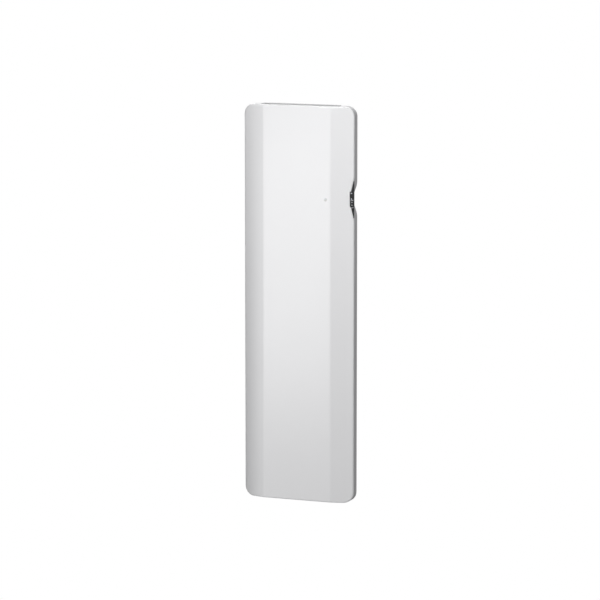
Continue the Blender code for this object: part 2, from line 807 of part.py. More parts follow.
def room_probe():
    """A temperature bulb low in the casing, and the clip that holds it off the back."""
    x, y, z = CABLE_X, -0.045, -0.700
    bulb = [(0.0010, -0.0120), (0.0024, -0.0106), (0.0028, -0.0080), (0.0028, 0.0110), (0.0012, 0.0120)]
    turned("room_probe", bulb, (x, y, z), UPWARDS, "black_plastic", RADIATOR, 14)
    grip = arc((x, y), 0.0046, -50, 230, 12) + arc((x, y), 0.0031, 230, -50, 12)
    clip = prism("probe_clip", grip, "Z", z - 0.004, z + 0.004, "nylon", RADIATOR)
    stem = box("clip_stem", (x - 0.0015, y + 0.0038, z - 0.004), (x + 0.0015, INSIDE_BACK_Y, z + 0.004))
    foot_y = INSIDE_BACK_Y - 0.0015
    foot = box("clip_foot", (x - 0.008, foot_y, z - 0.006), (x + 0.008, INSIDE_BACK_Y, z + 0.006))
    join(clip, stem, foot)


# Supply and wiring


def cable_gland():
    """A flanged bush through the back, open for the cable."""
    bore_r = CABLE_R + 0.0005
    flange_r = GLAND_R + 0.003
    front_y = -0.0370
    section = [(bore_r, front_y), (GLAND_R, front_y), (GLAND_R, ON_BACK_Y), (flange_r, ON_BACK_Y)]
    section += [(flange_r, ON_BACK_Y + 0.0019), (0.006, ON_BACK_Y + 0.0037), (bore_r, ON_BACK_Y + 0.0037)]
    turned("cable_gland", section, (CABLE_X, 0, CABLE_Z), INWARDS, "black_plastic", RADIATOR, closed=True)


def supply_cable():
    """It runs straight through the gland, bends down behind the casing, and ends in three bare cores."""
    straight = [(CABLE_X, y, CABLE_Z) for y in (-0.0480, -0.0380, -0.0290, -0.0235)]
    bend_centre = (CABLE_TAIL_Y - CABLE_BEND_R, CABLE_Z - CABLE_BEND_R)
    bend = [(CABLE_X, y, z) for y, z in arc(bend_centre, CABLE_BEND_R, 90, 0, 4)]
    tail = [(CABLE_X, CABLE_TAIL_Y, CABLE_Z - drop) for drop in (CABLE_TAIL / 3, CABLE_TAIL)]
    cable("supply_cable", straight + bend + tail, CABLE_R, "cable_sheath", RADIATOR)

    low = CABLE_Z - CABLE_TAIL - GAP
    for place_across, colour in zip((-1, 0, 1), ("brown", "blue", "black")):
        together = CABLE_X + place_across * 0.0028
        apart = CABLE_X + place_across * 0.0062
        course = ((together, 0), (apart, 0.010), (apart, 0.022))
        points = [(x, CABLE_TAIL_Y, low - drop) for x, drop in course]
        cable(f"supply_core_{colour}", points, 0.0012, f"core_{colour}", RADIATOR)


def terminal_block():
    """A three-way block on a leg, above the cable's inner end."""
    z = CABLE_Z + 0.021
    half_w, half_h = 0.014, 0.009
    front_y, back_y = -0.0560, -0.0420
    block = box(
        "terminal_block", (CABLE_X - half_w, front_y, z - half_h), (CABLE_X + half_w, back_y, z + half_h),
        "nylon", RADIATOR,
    )
    leg_low = (CABLE_X - 0.004, back_y - 0.001, z - 0.003)
    leg_high = (CABLE_X + 0.004, INSIDE_BACK_Y, z + 0.003)
    join(block, box("block_leg", leg_low, leg_high))
    for x in (CABLE_X - 0.009, CABLE_X, CABLE_X + 0.009):
        cut(block, drum("terminal_well", 0.0025, front_y - 0.004, front_y + 0.006, (x, 0, z), INWARDS, 12))


def harnesses():
    """The main one runs up from the terminals to the power board. The thin one runs over the control's arm and
    the right rail to the presence board."""
    main_low = CABLE_Z + 0.033
    main = [
        (0.190, -0.0490, main_low), (0.194, -0.0460, -0.500), (0.196, -0.0440, -0.200),
        (0.194, -0.0460, 0.080), (0.190, -0.0440, 0.1595),
    ]
    cable("main_harness", main, 0.0030, "cable_sheath", RADIATOR)
    over_arm = HOUSING_ARM[1][2] + 0.001
    sensor = [
        (0.1800, -0.0520, over_arm), (0.1795, -0.0530, over_arm + 0.010), (0.1700, -0.0620, over_arm + 0.018),
        (0.1540, -0.0680, over_arm + 0.012), (0.1420, -0.0710, SENSOR_Z + 0.013),
        (0.1350, -0.0712, SENSOR_Z), (0.1290, -0.0712, SENSOR_Z),
    ]
    cable("sensor_harness", sensor, 0.0015, "cable_sheath", RADIATOR)


# Wall fixing


def wall_bracket():
    """A pressed plate of two uprights and three rails, with an ear beside each hook for the pivot rod."""
    low, high = BRACKET_Z
    corners = [(-BRACKET_HALF_W, low), (BRACKET_HALF_W, low)]
    corners += [(BRACKET_HALF_W, high), (-BRACKET_HALF_W, high)]
    bracket = prism("wall_bracket", corners, "Y", -BRACKET_SHEET, 0.0, "zinc_steel")
    window_x = BRACKET_HALF_W - 0.030
    lower_rail, middle_rail, upper_rail = 0.050, 0.050, 0.060
    windows = boxes("bracket_windows", [
        ((-window_x, -0.01, low + lower_rail), (window_x, 0.01, -middle_rail / 2)),
        ((-window_x, -0.01, middle_rail / 2), (window_x, 0.01, high - upper_rail)),
    ])
    wall_holes = [
        drum("wall_hole", 0.0035, -0.01, 0.01, (x, 0, z), INWARDS, 16)
        for x in (-0.070, 0.070)
        for z in (low + 0.025, high - 0.025)
    ]
    cut(bracket, windows, *wall_holes)
    _, y, z = PIVOT
    ear_r = 2 * ROD_R
    ear_outline = [(-0.001, z - 1.5 * ear_r)] + arc((y, z), ear_r, 270, 90, 8) + [(-0.001, z + 1.5 * ear_r)]
    for side in SIDES.values():
        rivet_at = (side * LATCH_X, 0, LATCH_Z)
        cut(bracket, drum("rivet_hole", RIVET_R + GAP, -0.01, 0.01, rivet_at, INWARDS, 16))
        start, end = sorted(side * x for x in EAR_X)
        join(bracket, prism("bracket_ear", ear_outline, "X", start, end))
        cut(bracket, drum("ear_bore", ROD_R + GAP, start - 0.005, end + 0.005, (0, y, z), ACROSS))


def pivot_rod():
    """The rod that the radiator hangs on and tips about."""
    ease = 0.0008
    ends = (ROD_R - ease, ROD_HALF_LENGTH)
    body = (ROD_R, ROD_HALF_LENGTH - ease)
    profile = [(ends[0], -ends[1]), (body[0], -body[1]), body, ends]
    turned("pivot_rod", profile, PIVOT, ACROSS, "zinc_steel")


def hanging_hook(side_name, side):
    """A plate on the casing's back that drops over the rod from above, with its foot flat on the casing."""
    _, y, z = PIVOT
    seat = ROD_R + GAP
    low, high = z - 0.016, z + 0.026
    lip_y = y + seat + 0.003
    points = [(ON_BACK_Y, low), (y - seat, low)] + arc((y, z), seat, 180, 0, 10)
    points += [(y + seat, z - 0.007), (lip_y, z - 0.007), (lip_y, z + 0.005)]
    points += [(y + 0.002, z + 0.0105), (ON_BACK_Y, high)]
    x = side * HOOK_X
    start, end = x - HOOK_THICKNESS / 2, x + HOOK_THICKNESS / 2
    hook = prism(f"hanging_hook_{side_name}", points, "X", start, end, "zinc_steel", RADIATOR)
    join(hook, box("hook_foot", (x - 0.010, ON_BACK_Y, low), (x + 0.010, ON_BACK_Y + 0.0018, high)))


def latch_outline():
    """A latch standing upright about its rivet: a round boss, a straight arm and a slot for the stud."""
    slot_r = 0.0042
    slot_end = 0.0015
    ease = 0.004
    boss = arc((0, 0), 0.011, -215, 35, 16)
    tip = [(LATCH_HALF_W, LATCH_LENGTH - ease), (LATCH_HALF_W - ease, LATCH_LENGTH)]
    tip += [(-LATCH_HALF_W + ease, LATCH_LENGTH), (-LATCH_HALF_W, LATCH_LENGTH - ease)]
    mouth = math.degrees(math.asin((LATCH_HALF_W + 0.001) / CATCH_RADIUS))
    upper = arc((0, 0), CATCH_RADIUS + slot_r, 90 + mouth, 90, 4)
    lower = arc((0, 0), CATCH_RADIUS - slot_r, 90, 90 + mouth, 4)
    upper[0] = (-LATCH_HALF_W, upper[0][1])
    lower[-1] = (-LATCH_HALF_W, lower[-1][1])
    slot_floor = arc((slot_end, CATCH_RADIUS), slot_r, 90, -90, 8)
    return boss + tip + upper + slot_floor + lower


def leaning(points, side):
    """Points of a latch's outline, leaning outwards as it does at rest, at its place on the bracket."""
    turn = Matrix.Rotation(-LATCH_LEAN, 2)
    leant = (turn @ Vector(point) for point in points)
    return [(side * (LATCH_X + x), LATCH_Z + z) for x, z in leant]


def top_latch(side_name, side):
    """A flat lever that swings upright over the neck of a stud, with a finger tab at its tip."""
    on_axis = axis_empty(f"latch_axis_{side_name}", (side * LATCH_X, LATCH_Y[0], LATCH_Z))
    name = f"top_latch_{side_name}"
    latch = prism(name, leaning(latch_outline(), side), "Y", *LATCH_Y, "zinc_steel", on_axis)
    half, top = LATCH_HALF_W - 0.004, LATCH_LENGTH
    tab_foot = [(-half, top - 0.002), (half, top - 0.002), (half, top), (-half, top)]
    join(latch, prism("latch_tab", leaning(tab_foot, side), "Y", LATCH_TAB_Y, LATCH_Y[0] + 0.0015))
    cut(latch, drum("latch_bore", RIVET_R + GAP, -0.02, 0.0, (side * LATCH_X, 0, LATCH_Z), INWARDS, 16))


def latch_rivet(side_name, side):
    """A shouldered rivet in the bracket that the latch turns on."""
    front, back = LATCH_Y[0] - GAP, LATCH_Y[1] + GAP
    shoulder_r = 0.0052
    shoulder_y = -BRACKET_SHEET - GAP
    profile = [(RIVET_R, -GAP), (RIVET_R, shoulder_y), (shoulder_r, shoulder_y), (shoulder_r, back)]
    profile += [(RIVET_R, back), (RIVET_R, front), (2 * RIVET_R, front), (0.005, front - 0.0017)]
    turned(f"latch_rivet_{side_name}", profile, (side * LATCH_X, 0, LATCH_Z), INWARDS, "zinc_steel")


def catch_stud(side_name, side):
    """A headed stud on the casing's back that the latch closes round."""
    foot_r, neck_r, head_r = 0.0090, 0.0028, 0.0070
    foot_y = ON_BACK_Y + 0.0017
    head_y = LATCH_Y[1] + 0.0015
    profile = [(foot_r, ON_BACK_Y), (foot_r, foot_y), (neck_r, foot_y), (neck_r, head_y)]
    profile += [(head_r, head_y), (head_r - 0.0010, head_y + 0.0020)]
    at = (side * LATCH_X, 0, LATCH_Z + CATCH_RADIUS)
    turned(f"catch_stud_{side_name}", profile, at, INWARDS, "zinc_steel", RADIATOR)


def radiator():
    front_panel()
    rear_casing()
    grilles()
    heating_film()
    for level, z in ELEMENT_ZS.items():
        heating_element(level, z)
    for side_name, side in SIDES.items():
        element_rail(side_name, side)
        for level, z in ELEMENT_ZS.items():
            element_bush(level, z, side_name, side)
        hanging_hook(side_name, side)
        catch_stud(side_name, side)
    heat_shield()
    thermal_cutout()
    rail_screws()
    control_fascia()
    control_housing()
    display()
    control_board()
    for name, z in KEY_ZS.items():
        key(name, z)
    power_board()
    rocker_switch()
    presence_sensor()
    room_probe()
    cable_gland()
    supply_cable()
    terminal_block()
    harnesses()


def wall_fixing():
    wall_bracket()
    pivot_rod()
    for side_name, side in SIDES.items():
        top_latch(side_name, side)
        latch_rivet(side_name, side)


def main():
    clear_scene()
    axis_empty(RADIATOR, PIVOT)
    radiator()
    wall_fixing()


main()
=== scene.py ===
"""A wall-hung electric radiator's looks: shells, control, wall fixings, materials, studio and camera."""

import json
import math

import bmesh
import bpy
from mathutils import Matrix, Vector


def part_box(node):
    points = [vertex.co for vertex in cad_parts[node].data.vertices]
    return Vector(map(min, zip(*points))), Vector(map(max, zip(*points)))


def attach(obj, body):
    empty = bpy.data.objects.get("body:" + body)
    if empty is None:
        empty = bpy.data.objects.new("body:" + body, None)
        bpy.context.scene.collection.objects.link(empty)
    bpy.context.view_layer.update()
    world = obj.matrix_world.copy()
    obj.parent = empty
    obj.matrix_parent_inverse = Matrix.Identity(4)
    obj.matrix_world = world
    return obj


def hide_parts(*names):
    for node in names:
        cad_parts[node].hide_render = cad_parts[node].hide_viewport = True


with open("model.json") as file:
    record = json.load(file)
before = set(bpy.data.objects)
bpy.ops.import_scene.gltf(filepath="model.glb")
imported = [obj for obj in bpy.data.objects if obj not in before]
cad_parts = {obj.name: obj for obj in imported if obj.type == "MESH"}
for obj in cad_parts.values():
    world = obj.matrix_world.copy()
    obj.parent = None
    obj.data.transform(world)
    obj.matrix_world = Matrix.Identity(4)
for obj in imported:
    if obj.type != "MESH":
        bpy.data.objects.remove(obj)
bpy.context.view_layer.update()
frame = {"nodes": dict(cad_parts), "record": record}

# Sizes read from the frame
PANEL_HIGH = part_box("front_panel")[1]
CASING_LOW, CASING_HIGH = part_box("rear_casing")
HALF_W = PANEL_HIGH.x
HALF_H = PANEL_HIGH.z
LIP_Y = PANEL_HIGH.y
BACK_Y = CASING_HIGH.y
TONGUE_Y = CASING_LOW.y
FRONT_Y = LIP_Y - 0.028

# Shape of the sheet metal
CORNER_R = 0.038
CREASE_X = HALF_W - 0.0835
FLANK_ANGLE = math.radians(14.9)
BEND_R = 0.045
SHEET = 0.0012
EDGE_R = 0.005
BACK_EDGE_R = 0.004
RIM_Y = LIP_Y + 0.0005
GAP = 0.0003

# Notch in the right edge: (depth, half length of its flat floor, half length at its mouth,
# further depth of the step beside the control). The step's half length shrinks over STEP_ENDS.
NOTCH_Z = 0.404
NOTCH_FRONT = (0.0115, 0.015, 0.090, 0.0035)
NOTCH_BACK = (0.0150, 0.002, 0.066, 0.0)
STEP_ENDS = (0.0275, 0.0320)

# Control face, parallel to the right flank: depths are measured inwards from it
FACE_X = HALF_W - 0.0072
FACE_RECESS = 0.0017
FASCIA_THICKNESS = 0.0018
CONTROL_REACH = 0.070
ARM_HALF_H = 0.0285
WINDOW_HALF_W = 0.0048
MARK_DEPTHS = (0.0034, 0.0036)
HIGHLIGHT_ARC_RADII = (0.0120, 0.0104)
KEY_R = 0.0032

# Round-ended slots of the grilles
SLOT_COUNT = 24
SLOT_PITCH = 0.0122
SLOT_HALF_W = 0.0041
SLOT_HALF_D = 0.01075
SLOT_CORNER_R = 0.0038

# Wall fixing: bracket, pivot rod, and the latches at its head
BRACKET_HALF_W = 0.125
BRACKET_Z = (-0.705, 0.640)
BRACKET_SHEET = 0.002
PIVOT = (0.0, -0.012, -0.690)
ROD_R = 0.004
ROD_HALF_LENGTH = 0.150
EAR_X = (0.101, 0.104)
HOOK_X = 0.130
HOOK_HALF_T = 0.0015
LATCH_X = 0.110
LATCH_Z = 0.600
LATCH_LEAN = math.radians(30)
LATCH_Y = (-0.0125, -0.0100)
LATCH_LENGTH = 0.128
LATCH_HALF_W = 0.009
LATCH_TAB_Y = -0.0205
CATCH_RADIUS = 0.055
RIVET_R = 0.003
DOME_TURNS = (0.0, 0.4, 0.8, 1.2, 1.45)
ON_BACK_Y = BACK_Y + GAP
SIDES = {"left": -1, "right": 1}
ACROSS = (1, 0, 0)
INWARDS = (0, 1, 0)

# Mains cable
CABLE_R = 0.0039
CABLE_TAIL_Y = -0.0125
CABLE_BEND_R = 0.0075
CABLE_TAIL = 0.090

# Rocker switch: its cap is a dished bar that leans on a pin, level with the middle of the notch,
# and its ring mark lies MARK_HEIGHT under the pin
WELL_HALF_W = 0.0062
WELL_HALF_H = 0.0096
CAP_HALF_LENGTH = 0.0088
CAP_RIM = 0.0035
CAP_DIP = 0.0020
CAP_LEAN = math.radians(-6)
CAP_PIN_Y = -0.0245
MARK_HEIGHT = 0.0048

# Studio: surroundings, floor, and the card beside the left edge
AMBIENT = 0.25
FLOOR_DROP = 0.50
FLOOR_HALF = 9.0
FLAG_GAP = 0.036
FLAG_DEPTH = 0.085

# Camera: angles round and up, metres away, lens in millimetres, and its aim on the front
CAMERA_YAW = math.radians(21.34)
CAMERA_PITCH = math.radians(8.47)
CAMERA_DISTANCE = 12.21
CAMERA_LENS = 194.74
AIM_RIGHT = 0.01228
AIM_UP = 0.01761


# Mesh helpers

SHARP_ANGLE = math.radians(32)
BLUNT_ANGLE = math.radians(50)


def added(name, data):
    """A new object, put in the scene."""
    made = bpy.data.objects.new(name, data)
    bpy.context.scene.collection.objects.link(made)
    return made


def finish_mesh(bm, name, material, sharp=SHARP_ANGLE):
    bmesh.ops.recalc_face_normals(bm, faces=bm.faces)
    mesh = bpy.data.meshes.new(name)
    bm.to_mesh(mesh)
    bm.free()
    mesh.materials.append(material)
    mesh.shade_smooth()
    mesh.set_sharp_from_angle(angle=sharp)
    return added(name, mesh)


def even_shading(piece):
    """Lets the large flat faces set the normals where they meet small rounded ones."""
    weighted = piece.modifiers.new("even_shading", "WEIGHTED_NORMAL")
    weighted.mode = "FACE_AREA"
    weighted.weight = 80
    weighted.keep_sharp = True
    return piece


def loft(name, rings, material, closed=False, sharp=SHARP_ANGLE):
    """A skin over rings of equal length, capped at its ends or, if closed, joined end to end."""
    bm = bmesh.new()
    verts = [[bm.verts.new(point) for point in ring] for ring in rings]
    pairs = list(zip(verts, verts[1:]))
    if closed:
        pairs.append((verts[-1], verts[0]))
    for low, high in pairs:
        for i in range(len(low)):
            j = (i + 1) % len(low)
            bm.faces.new((low[i], low[j], high[j], high[i]))
    if not closed:
        bm.faces.new(verts[0])
        bm.faces.new(verts[-1])
    return finish_mesh(bm, name, material, sharp)


def turned(name, profile, centre, direction, material, sides=48, closed=False):
    """A round piece. Its profile's points are (radius, distance along direction from centre)."""
    turn = Vector((0, 0, 1)).rotation_difference(Vector(direction)).to_matrix()
    rings = []
    for radius, along in profile:
        angles = [2 * math.pi * i / sides for i in range(sides)]
        ring = [Vector((radius * math.cos(a), radius * math.sin(a), along)) for a in angles]
        rings.append([turn @ point + Vector(centre) for point in ring])
    return loft(name, rings, material, closed)


def slab(name, outline, axis, start, end, material):
    """A flat outline pushed along one axis."""

    def at(a, b, along):
        return {"X": (along, a, b), "Y": (a, along, b), "Z": (a, b, along)}[axis]

    rings = [[at(a, b, along) for a, b in outline] for along in (start, end)]
    return loft(name, rings, material)


def block(name, low, high, material):
    outline = [(low[0], low[1]), (high[0], low[1]), (high[0], high[1]), (low[0], high[1])]
    return slab(name, outline, "Z", low[2], high[2], material)


def rounded(piece, width):
    """Rounds the sharp edges."""
    bevel = piece.modifiers.new("rounded_edges", "BEVEL")
    bevel.width = width
    bevel.segments = 2
    bevel.limit_method = "ANGLE"
    bevel.angle_limit = math.radians(35)
    return even_shading(piece)


def arc(centre, radius, start, end, steps):
    angles = [math.radians(start + (end - start) * i / steps) for i in range(steps + 1)]
    return [(centre[0] + radius * math.cos(a), centre[1] + radius * math.sin(a)) for a in angles]


def rounded_box_outline(x0, y0, x1, y1, radius, steps=6):
    points = arc((x1 - radius, y0 + radius), radius, -90, 0, steps)
    points += arc((x1 - radius, y1 - radius), radius, 0, 90, steps)
    points += arc((x0 + radius, y1 - radius), radius, 90, 180, steps)
    points += arc((x0 + radius, y0 + radius), radius, 180, 270, steps)
    return points


def combine(piece, operation, others):
    """A Boolean that is applied at once, so that none of the other pieces is left in the scene."""
    for other in others:
        modifier = piece.modifiers.new("combined", "BOOLEAN")
        modifier.operation = operation
        modifier.solver = "EXACT"
        modifier.object = other
    bake(piece)
    for other in others:
        bpy.data.objects.remove(other)
    return piece


def rounded_around(x, y, half_w, half_h, radius, steps=6):
    """A rounded box outline, given by its middle and its half sizes."""
    return rounded_box_outline(x - half_w, y - half_h, x + half_w, y + half_h, radius, steps)


def cut(piece, *cutters):
    return combine(piece, "DIFFERENCE", cutters)


def join(piece, *others):
    return combine(piece, "UNION", others)


def bake(piece):
    """Applies the piece's modifiers to its mesh."""
    graph = bpy.context.evaluated_depsgraph_get()
    graph.update()
    mesh = bpy.data.meshes.new_from_object(piece.evaluated_get(graph))
    piece.modifiers.clear()
    piece.data = mesh
    mesh.shade_smooth()
    mesh.set_sharp_from_angle(angle=SHARP_ANGLE)


def tube(name, points, radius, material):
    """A round cable that bends smoothly through its points."""
    curve = bpy.data.curves.new(name, "CURVE")
    curve.dimensions = "3D"
    curve.bevel_depth = radius
    curve.bevel_resolution = 6
    curve.resolution_u = 12
    curve.use_fill_caps = True
    spline = curve.splines.new("BEZIER")
    spline.bezier_points.add(len(points) - 1)
    for knot, point in zip(spline.bezier_points, points):
        knot.co = point
        knot.handle_left_type = "AUTO"
        knot.handle_right_type = "AUTO"
    curve.materials.append(material)
    return added(name, curve)


def middle_of(node):
    """The middle of a CAD node's box."""
    return tuple((low + high) / 2 for low, high in zip(*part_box(node)))


def install(piece, body, slot, *nodes):
    """The piece rides on a body, and stands for the CAD nodes named."""
    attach(piece, body)
    if nodes:
        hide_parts(*nodes)


# Material helpers

MATERIALS = {}


class Surface:
    """A Principled material, listed by name, with short calls for the nodes that feed it."""

    def __init__(self, name, colour, roughness, metallic=0.0):
        self.material = bpy.data.materials.new(name)
        MATERIALS[name] = self.material
        self.material.use_nodes = True
        self.nodes = self.material.node_tree.nodes
        self.links = self.material.node_tree.links
        self.shader = self.nodes["Principled BSDF"]
        self.colour = (*colour, 1.0)
        self.shader.inputs["Base Color"].default_value = self.colour
        self.shader.inputs["Roughness"].default_value = roughness
        self.shader.inputs["Metallic"].default_value = metallic
        self.place = self.nodes.new("ShaderNodeTexCoord").outputs["Object"]
        self.material.diffuse_color = self.colour

    def set(self, **values):
        for name, value in values.items():
            self.shader.inputs[name.replace("_", " ")].default_value = value

    def stretched(self, scale):
        mapping = self.nodes.new("ShaderNodeMapping")
        mapping.inputs["Scale"].default_value = scale
        self.links.new(self.place, mapping.inputs["Vector"])
        return mapping.outputs["Vector"]

    def noise(self, scale, detail, vector=None):
        node = self.nodes.new("ShaderNodeTexNoise")
        node.inputs["Scale"].default_value = scale
        node.inputs["Detail"].default_value = detail
        self.links.new(vector or self.place, node.inputs["Vector"])
        return node.outputs["Fac"]

    def cells(self, scale):
        node = self.nodes.new("ShaderNodeTexVoronoi")
        node.inputs["Scale"].default_value = scale
        self.links.new(self.place, node.inputs["Vector"])
        return node

    def ramp(self, value, low, high, start, end):
        node = self.nodes.new("ShaderNodeMapRange")
        limits = {"From Min": low, "From Max": high, "To Min": start, "To Max": end}
        for name, limit in limits.items():
            node.inputs[name].default_value = limit
        self.links.new(value, node.inputs["Value"])
        return node.outputs["Result"]

    def mix(self, factor, first, second):
        node = self.nodes.new("ShaderNodeMix")
        node.data_type = "RGBA"
        self.links.new(factor, node.inputs["Factor"])
        for socket, value in ((node.inputs["A"], first), (node.inputs["B"], second)):
            if isinstance(value, tuple):
                socket.default_value = (*value, 1.0)
            else:
                self.links.new(value, socket)
        return node.outputs["Result"]

    def tint(self, factor, first, second):
        self.links.new(self.mix(factor, first, second), self.shader.inputs["Base Color"])

    def rough(self, value, low, high):
        """Roughness from low to high, over the middle of the value's range."""
        self.links.new(self.ramp(value, 0.3, 0.7, low, high), self.shader.inputs["Roughness"])

    def bump(self, value, height):
        """Raises the surface by the value times height, on top of any bump that is there already."""
        node = self.nodes.new("ShaderNodeBump")
        node.inputs["Distance"].default_value = height
        self.links.new(value, node.inputs["Height"])
        before = self.shader.inputs["Normal"]
        if before.is_linked:
            self.links.new(before.links[0].from_socket, node.inputs["Normal"])
        self.links.new(node.outputs["Normal"], before)


def mixed_shader(tree, factor, first, second):
    """The first shader where the factor is 0, and the second where it is 1."""
    node = tree.nodes.new("ShaderNodeMixShader")
    tree.links.new(factor, node.inputs["Fac"])
    tree.links.new(first, node.inputs[1])
    tree.links.new(second, node.inputs[2])
    return node.outputs["Shader"]


def scaled(colour, factor):
    return tuple(channel * factor for channel in colour)


def powder_coat(name, colour, roughness, grain, depth, gloss=0.0):
    """Baked powder coat: a fine orange peel, and a broad, faint drift of tone and sheen."""
    made = Surface(name, colour, roughness)
    made.set(Coat_Weight=gloss, Coat_Roughness=0.18)
    drift = made.noise(4.0, 2.0)
    made.tint(drift, scaled(colour, 0.985), scaled(colour, 1.01))
    made.rough(made.noise(grain / 3, 2.0), roughness - 0.04, roughness + 0.05)
    made.bump(made.noise(grain, 2.0), depth)
    made.bump(made.noise(grain * 4, 1.0), depth / 5)
    return made.material


def gloss_black(name, colour, roughness):
    """Polished moulding with faint smears in its sheen."""
    made = Surface(name, colour, roughness)
    made.set(Coat_Weight=0.15, Coat_Roughness=0.08)
    made.rough(made.noise(120.0, 3.0), roughness - 0.03, roughness + 0.08)
    made.tint(made.noise(60.0, 2.0), colour, scaled(colour, 1.6))
    return made.material


def moulded(name, colour, roughness=0.45, grain=2500.0, depth=0.00003):
    """Plastic from a spark-eroded mould."""
    made = Surface(name, colour, roughness)
    made.tint(made.noise(40.0, 3.0), scaled(colour, 0.85), scaled(colour, 1.15))
    made.rough(made.noise(300.0, 2.0), roughness - 0.06, roughness + 0.08)
    made.bump(made.noise(grain, 2.0), depth)
    return made.material


def zinc_steel():
    """Zinc-plated sheet with a spangle and faint rolling lines."""
    made = Surface("zinc_steel", (0.62, 0.64, 0.66), 0.38, 1.0)
    spangle = made.cells(110.0)
    tone = made.ramp(spangle.outputs["Distance"], 0.0, 0.9, 0.0, 1.0)
    made.tint(tone, (0.56, 0.58, 0.60), (0.68, 0.70, 0.71))
    lines = made.noise(60.0, 4.0, made.stretched((9.0, 9.0, 0.9)))
    made.rough(lines, 0.33, 0.42)
    made.bump(lines, 0.000006)
    return made.material


def cast_aluminium():
    made = Surface("cast_aluminium", (0.60, 0.61, 0.62), 0.50, 0.9)
    grit = made.noise(700.0, 4.0)
    made.tint(made.noise(18.0, 3.0), (0.52, 0.53, 0.54), (0.66, 0.67, 0.68))
    made.rough(grit, 0.42, 0.62)
    made.bump(grit, 0.00012)
    return made.material


def bright_foil():
    """Rolled foil with creases."""
    made = Surface("foil", (0.82, 0.83, 0.85), 0.25, 1.0)
    crease = made.cells(34.0)
    made.rough(made.noise(200.0, 3.0), 0.18, 0.36)
    made.bump(crease.outputs["Distance"], 0.0006)
    return made.material


def heating_film():
    """Amber film with dark printed tracks."""
    made = Surface("heating_film", (0.50, 0.24, 0.05), 0.35)
    wave = made.nodes.new("ShaderNodeTexWave")
    wave.bands_direction = "X"
    wave.inputs["Scale"].default_value = 60.0
    made.links.new(made.place, wave.inputs["Vector"])
    made.tint(made.ramp(wave.outputs["Fac"], 0.45, 0.55, 0.0, 1.0), (0.50, 0.24, 0.05), (0.03, 0.03, 0.03))
    made.bump(wave.outputs["Fac"], 0.00005)
    return made.material


def circuit_board():
    """Green solder mask with faint tracks beneath it."""
    made = Surface("circuit_board", (0.02, 0.17, 0.07), 0.35)
    tracks = made.cells(260.0)
    tracks.distance = "MANHATTAN"
    lines = made.ramp(tracks.outputs["Distance"], 0.30, 0.34, 0.0, 1.0)
    made.tint(lines, (0.02, 0.20, 0.08), (0.015, 0.12, 0.05))
    made.bump(lines, 0.00003)
    return made.material


def ceramic():
    made = Surface("ceramic", (0.85, 0.82, 0.74), 0.55)
    speck = made.noise(900.0, 4.0)
    made.tint(speck, (0.78, 0.74, 0.66), (0.90, 0.88, 0.82))
    made.bump(speck, 0.00006)
    return made.material


def sheath(name, colour):
    """Extruded flexible sheath: fine lengthwise drag lines and a soft sheen."""
    made = Surface(name, colour, 0.5)
    drag = made.noise(500.0, 2.0, made.stretched((1.0, 1.0, 0.05)))
    made.tint(drag, scaled(colour, 0.9), scaled(colour, 1.1))
    made.rough(drag, 0.42, 0.6)
    made.bump(drag, 0.00003)
    return made.material


def tinted_window():
    made = Surface("display_window", (0.35, 0.35, 0.37), 0.05)
    made.set(Transmission_Weight=0.9, IOR=1.49)
    made.rough(made.noise(200.0, 2.0), 0.03, 0.08)
    return made.material


def display_glass():
    made = Surface("display", (0.012, 0.013, 0.016), 0.2)
    made.tint(made.noise(400.0, 2.0), (0.010, 0.011, 0.013), (0.018, 0.019, 0.022))
    return made.material


def lit_mark(name, colour, strength):
    """A printed mark, or one that glows with the strength given: the glow on the display's arcs is a painted
    highlight.
    """
    made = Surface(name, colour, 0.4)
    made.set(Emission_Color=(*colour, 1.0), Emission_Strength=strength)
    made.tint(made.noise(900.0, 2.0), scaled(colour, 0.92), colour)
    return made.material


def lens_plastic():
    """Milky sensor lens that lets a little light through."""
    made = Surface("sensor_lens", (0.86, 0.87, 0.87), 0.35)
    made.set(Transmission_Weight=0.15, Subsurface_Weight=0.3, Subsurface_Scale=0.002)
    made.tint(made.noise(600.0, 2.0), (0.82, 0.83, 0.83), (0.88, 0.89, 0.89))
    made.bump(made.noise(1500.0, 2.0), 0.00002)
    return made.material


# One finish for each material slot of the record, and three more for small details
WHITE = powder_coat("panel_white", (0.83, 0.83, 0.84), 0.36, 900.0, 0.000020, 0.25)
CASING = powder_coat("casing_grey", (0.50, 0.50, 0.51), 0.50, 650.0, 0.000060)
GRILLE = powder_coat("grille_grey", (0.50, 0.50, 0.51), 0.48, 900.0, 0.000030)
BLACK = moulded("black_plastic", (0.026, 0.026, 0.028))
FASCIA = gloss_black("fascia_black", (0.026, 0.026, 0.028), 0.22)
KEY = moulded("key_black", (0.030, 0.030, 0.032), 0.35, 4000.0, 0.00001)
PANE = tinted_window()
DISPLAY = display_glass()
LENS = lens_plastic()
ZINC = zinc_steel()
circuit_board()
heating_film()
bright_foil()
cast_aluminium()
ceramic()
moulded("nylon", (0.78, 0.77, 0.71), 0.5)
sheath("cable_sheath", (0.62, 0.62, 0.63))
sheath("core_brown", (0.20, 0.07, 0.03))
sheath("core_blue", (0.02, 0.12, 0.45))
sheath("core_black", (0.02, 0.02, 0.02))
COPPER = sheath("copper", (0.72, 0.42, 0.28))
# Glow for the display's arcs, bright enough to stand for the highlights at the window's left edge: a painted
# highlight
GLOW_PAINTED_HIGHLIGHT = lit_mark("glow_painted_highlight", (0.85, 0.88, 0.90), 5.0)
PRINT = lit_mark("light_print", (0.78, 0.79, 0.81), 0.0)


def dress_cad_nodes():
    """Gives every CAD node the finish of its slot in the record."""
    for entry in frame["record"]["subparts"]:
        node = frame["nodes"][entry["node"]]
        node.data.materials.clear()
        node.data.materials.append(MATERIALS[entry["material_slot"]])
        node.data.shade_smooth()
        node.data.set_sharp_from_angle(angle=SHARP_ANGLE)


# Outline that the shells share


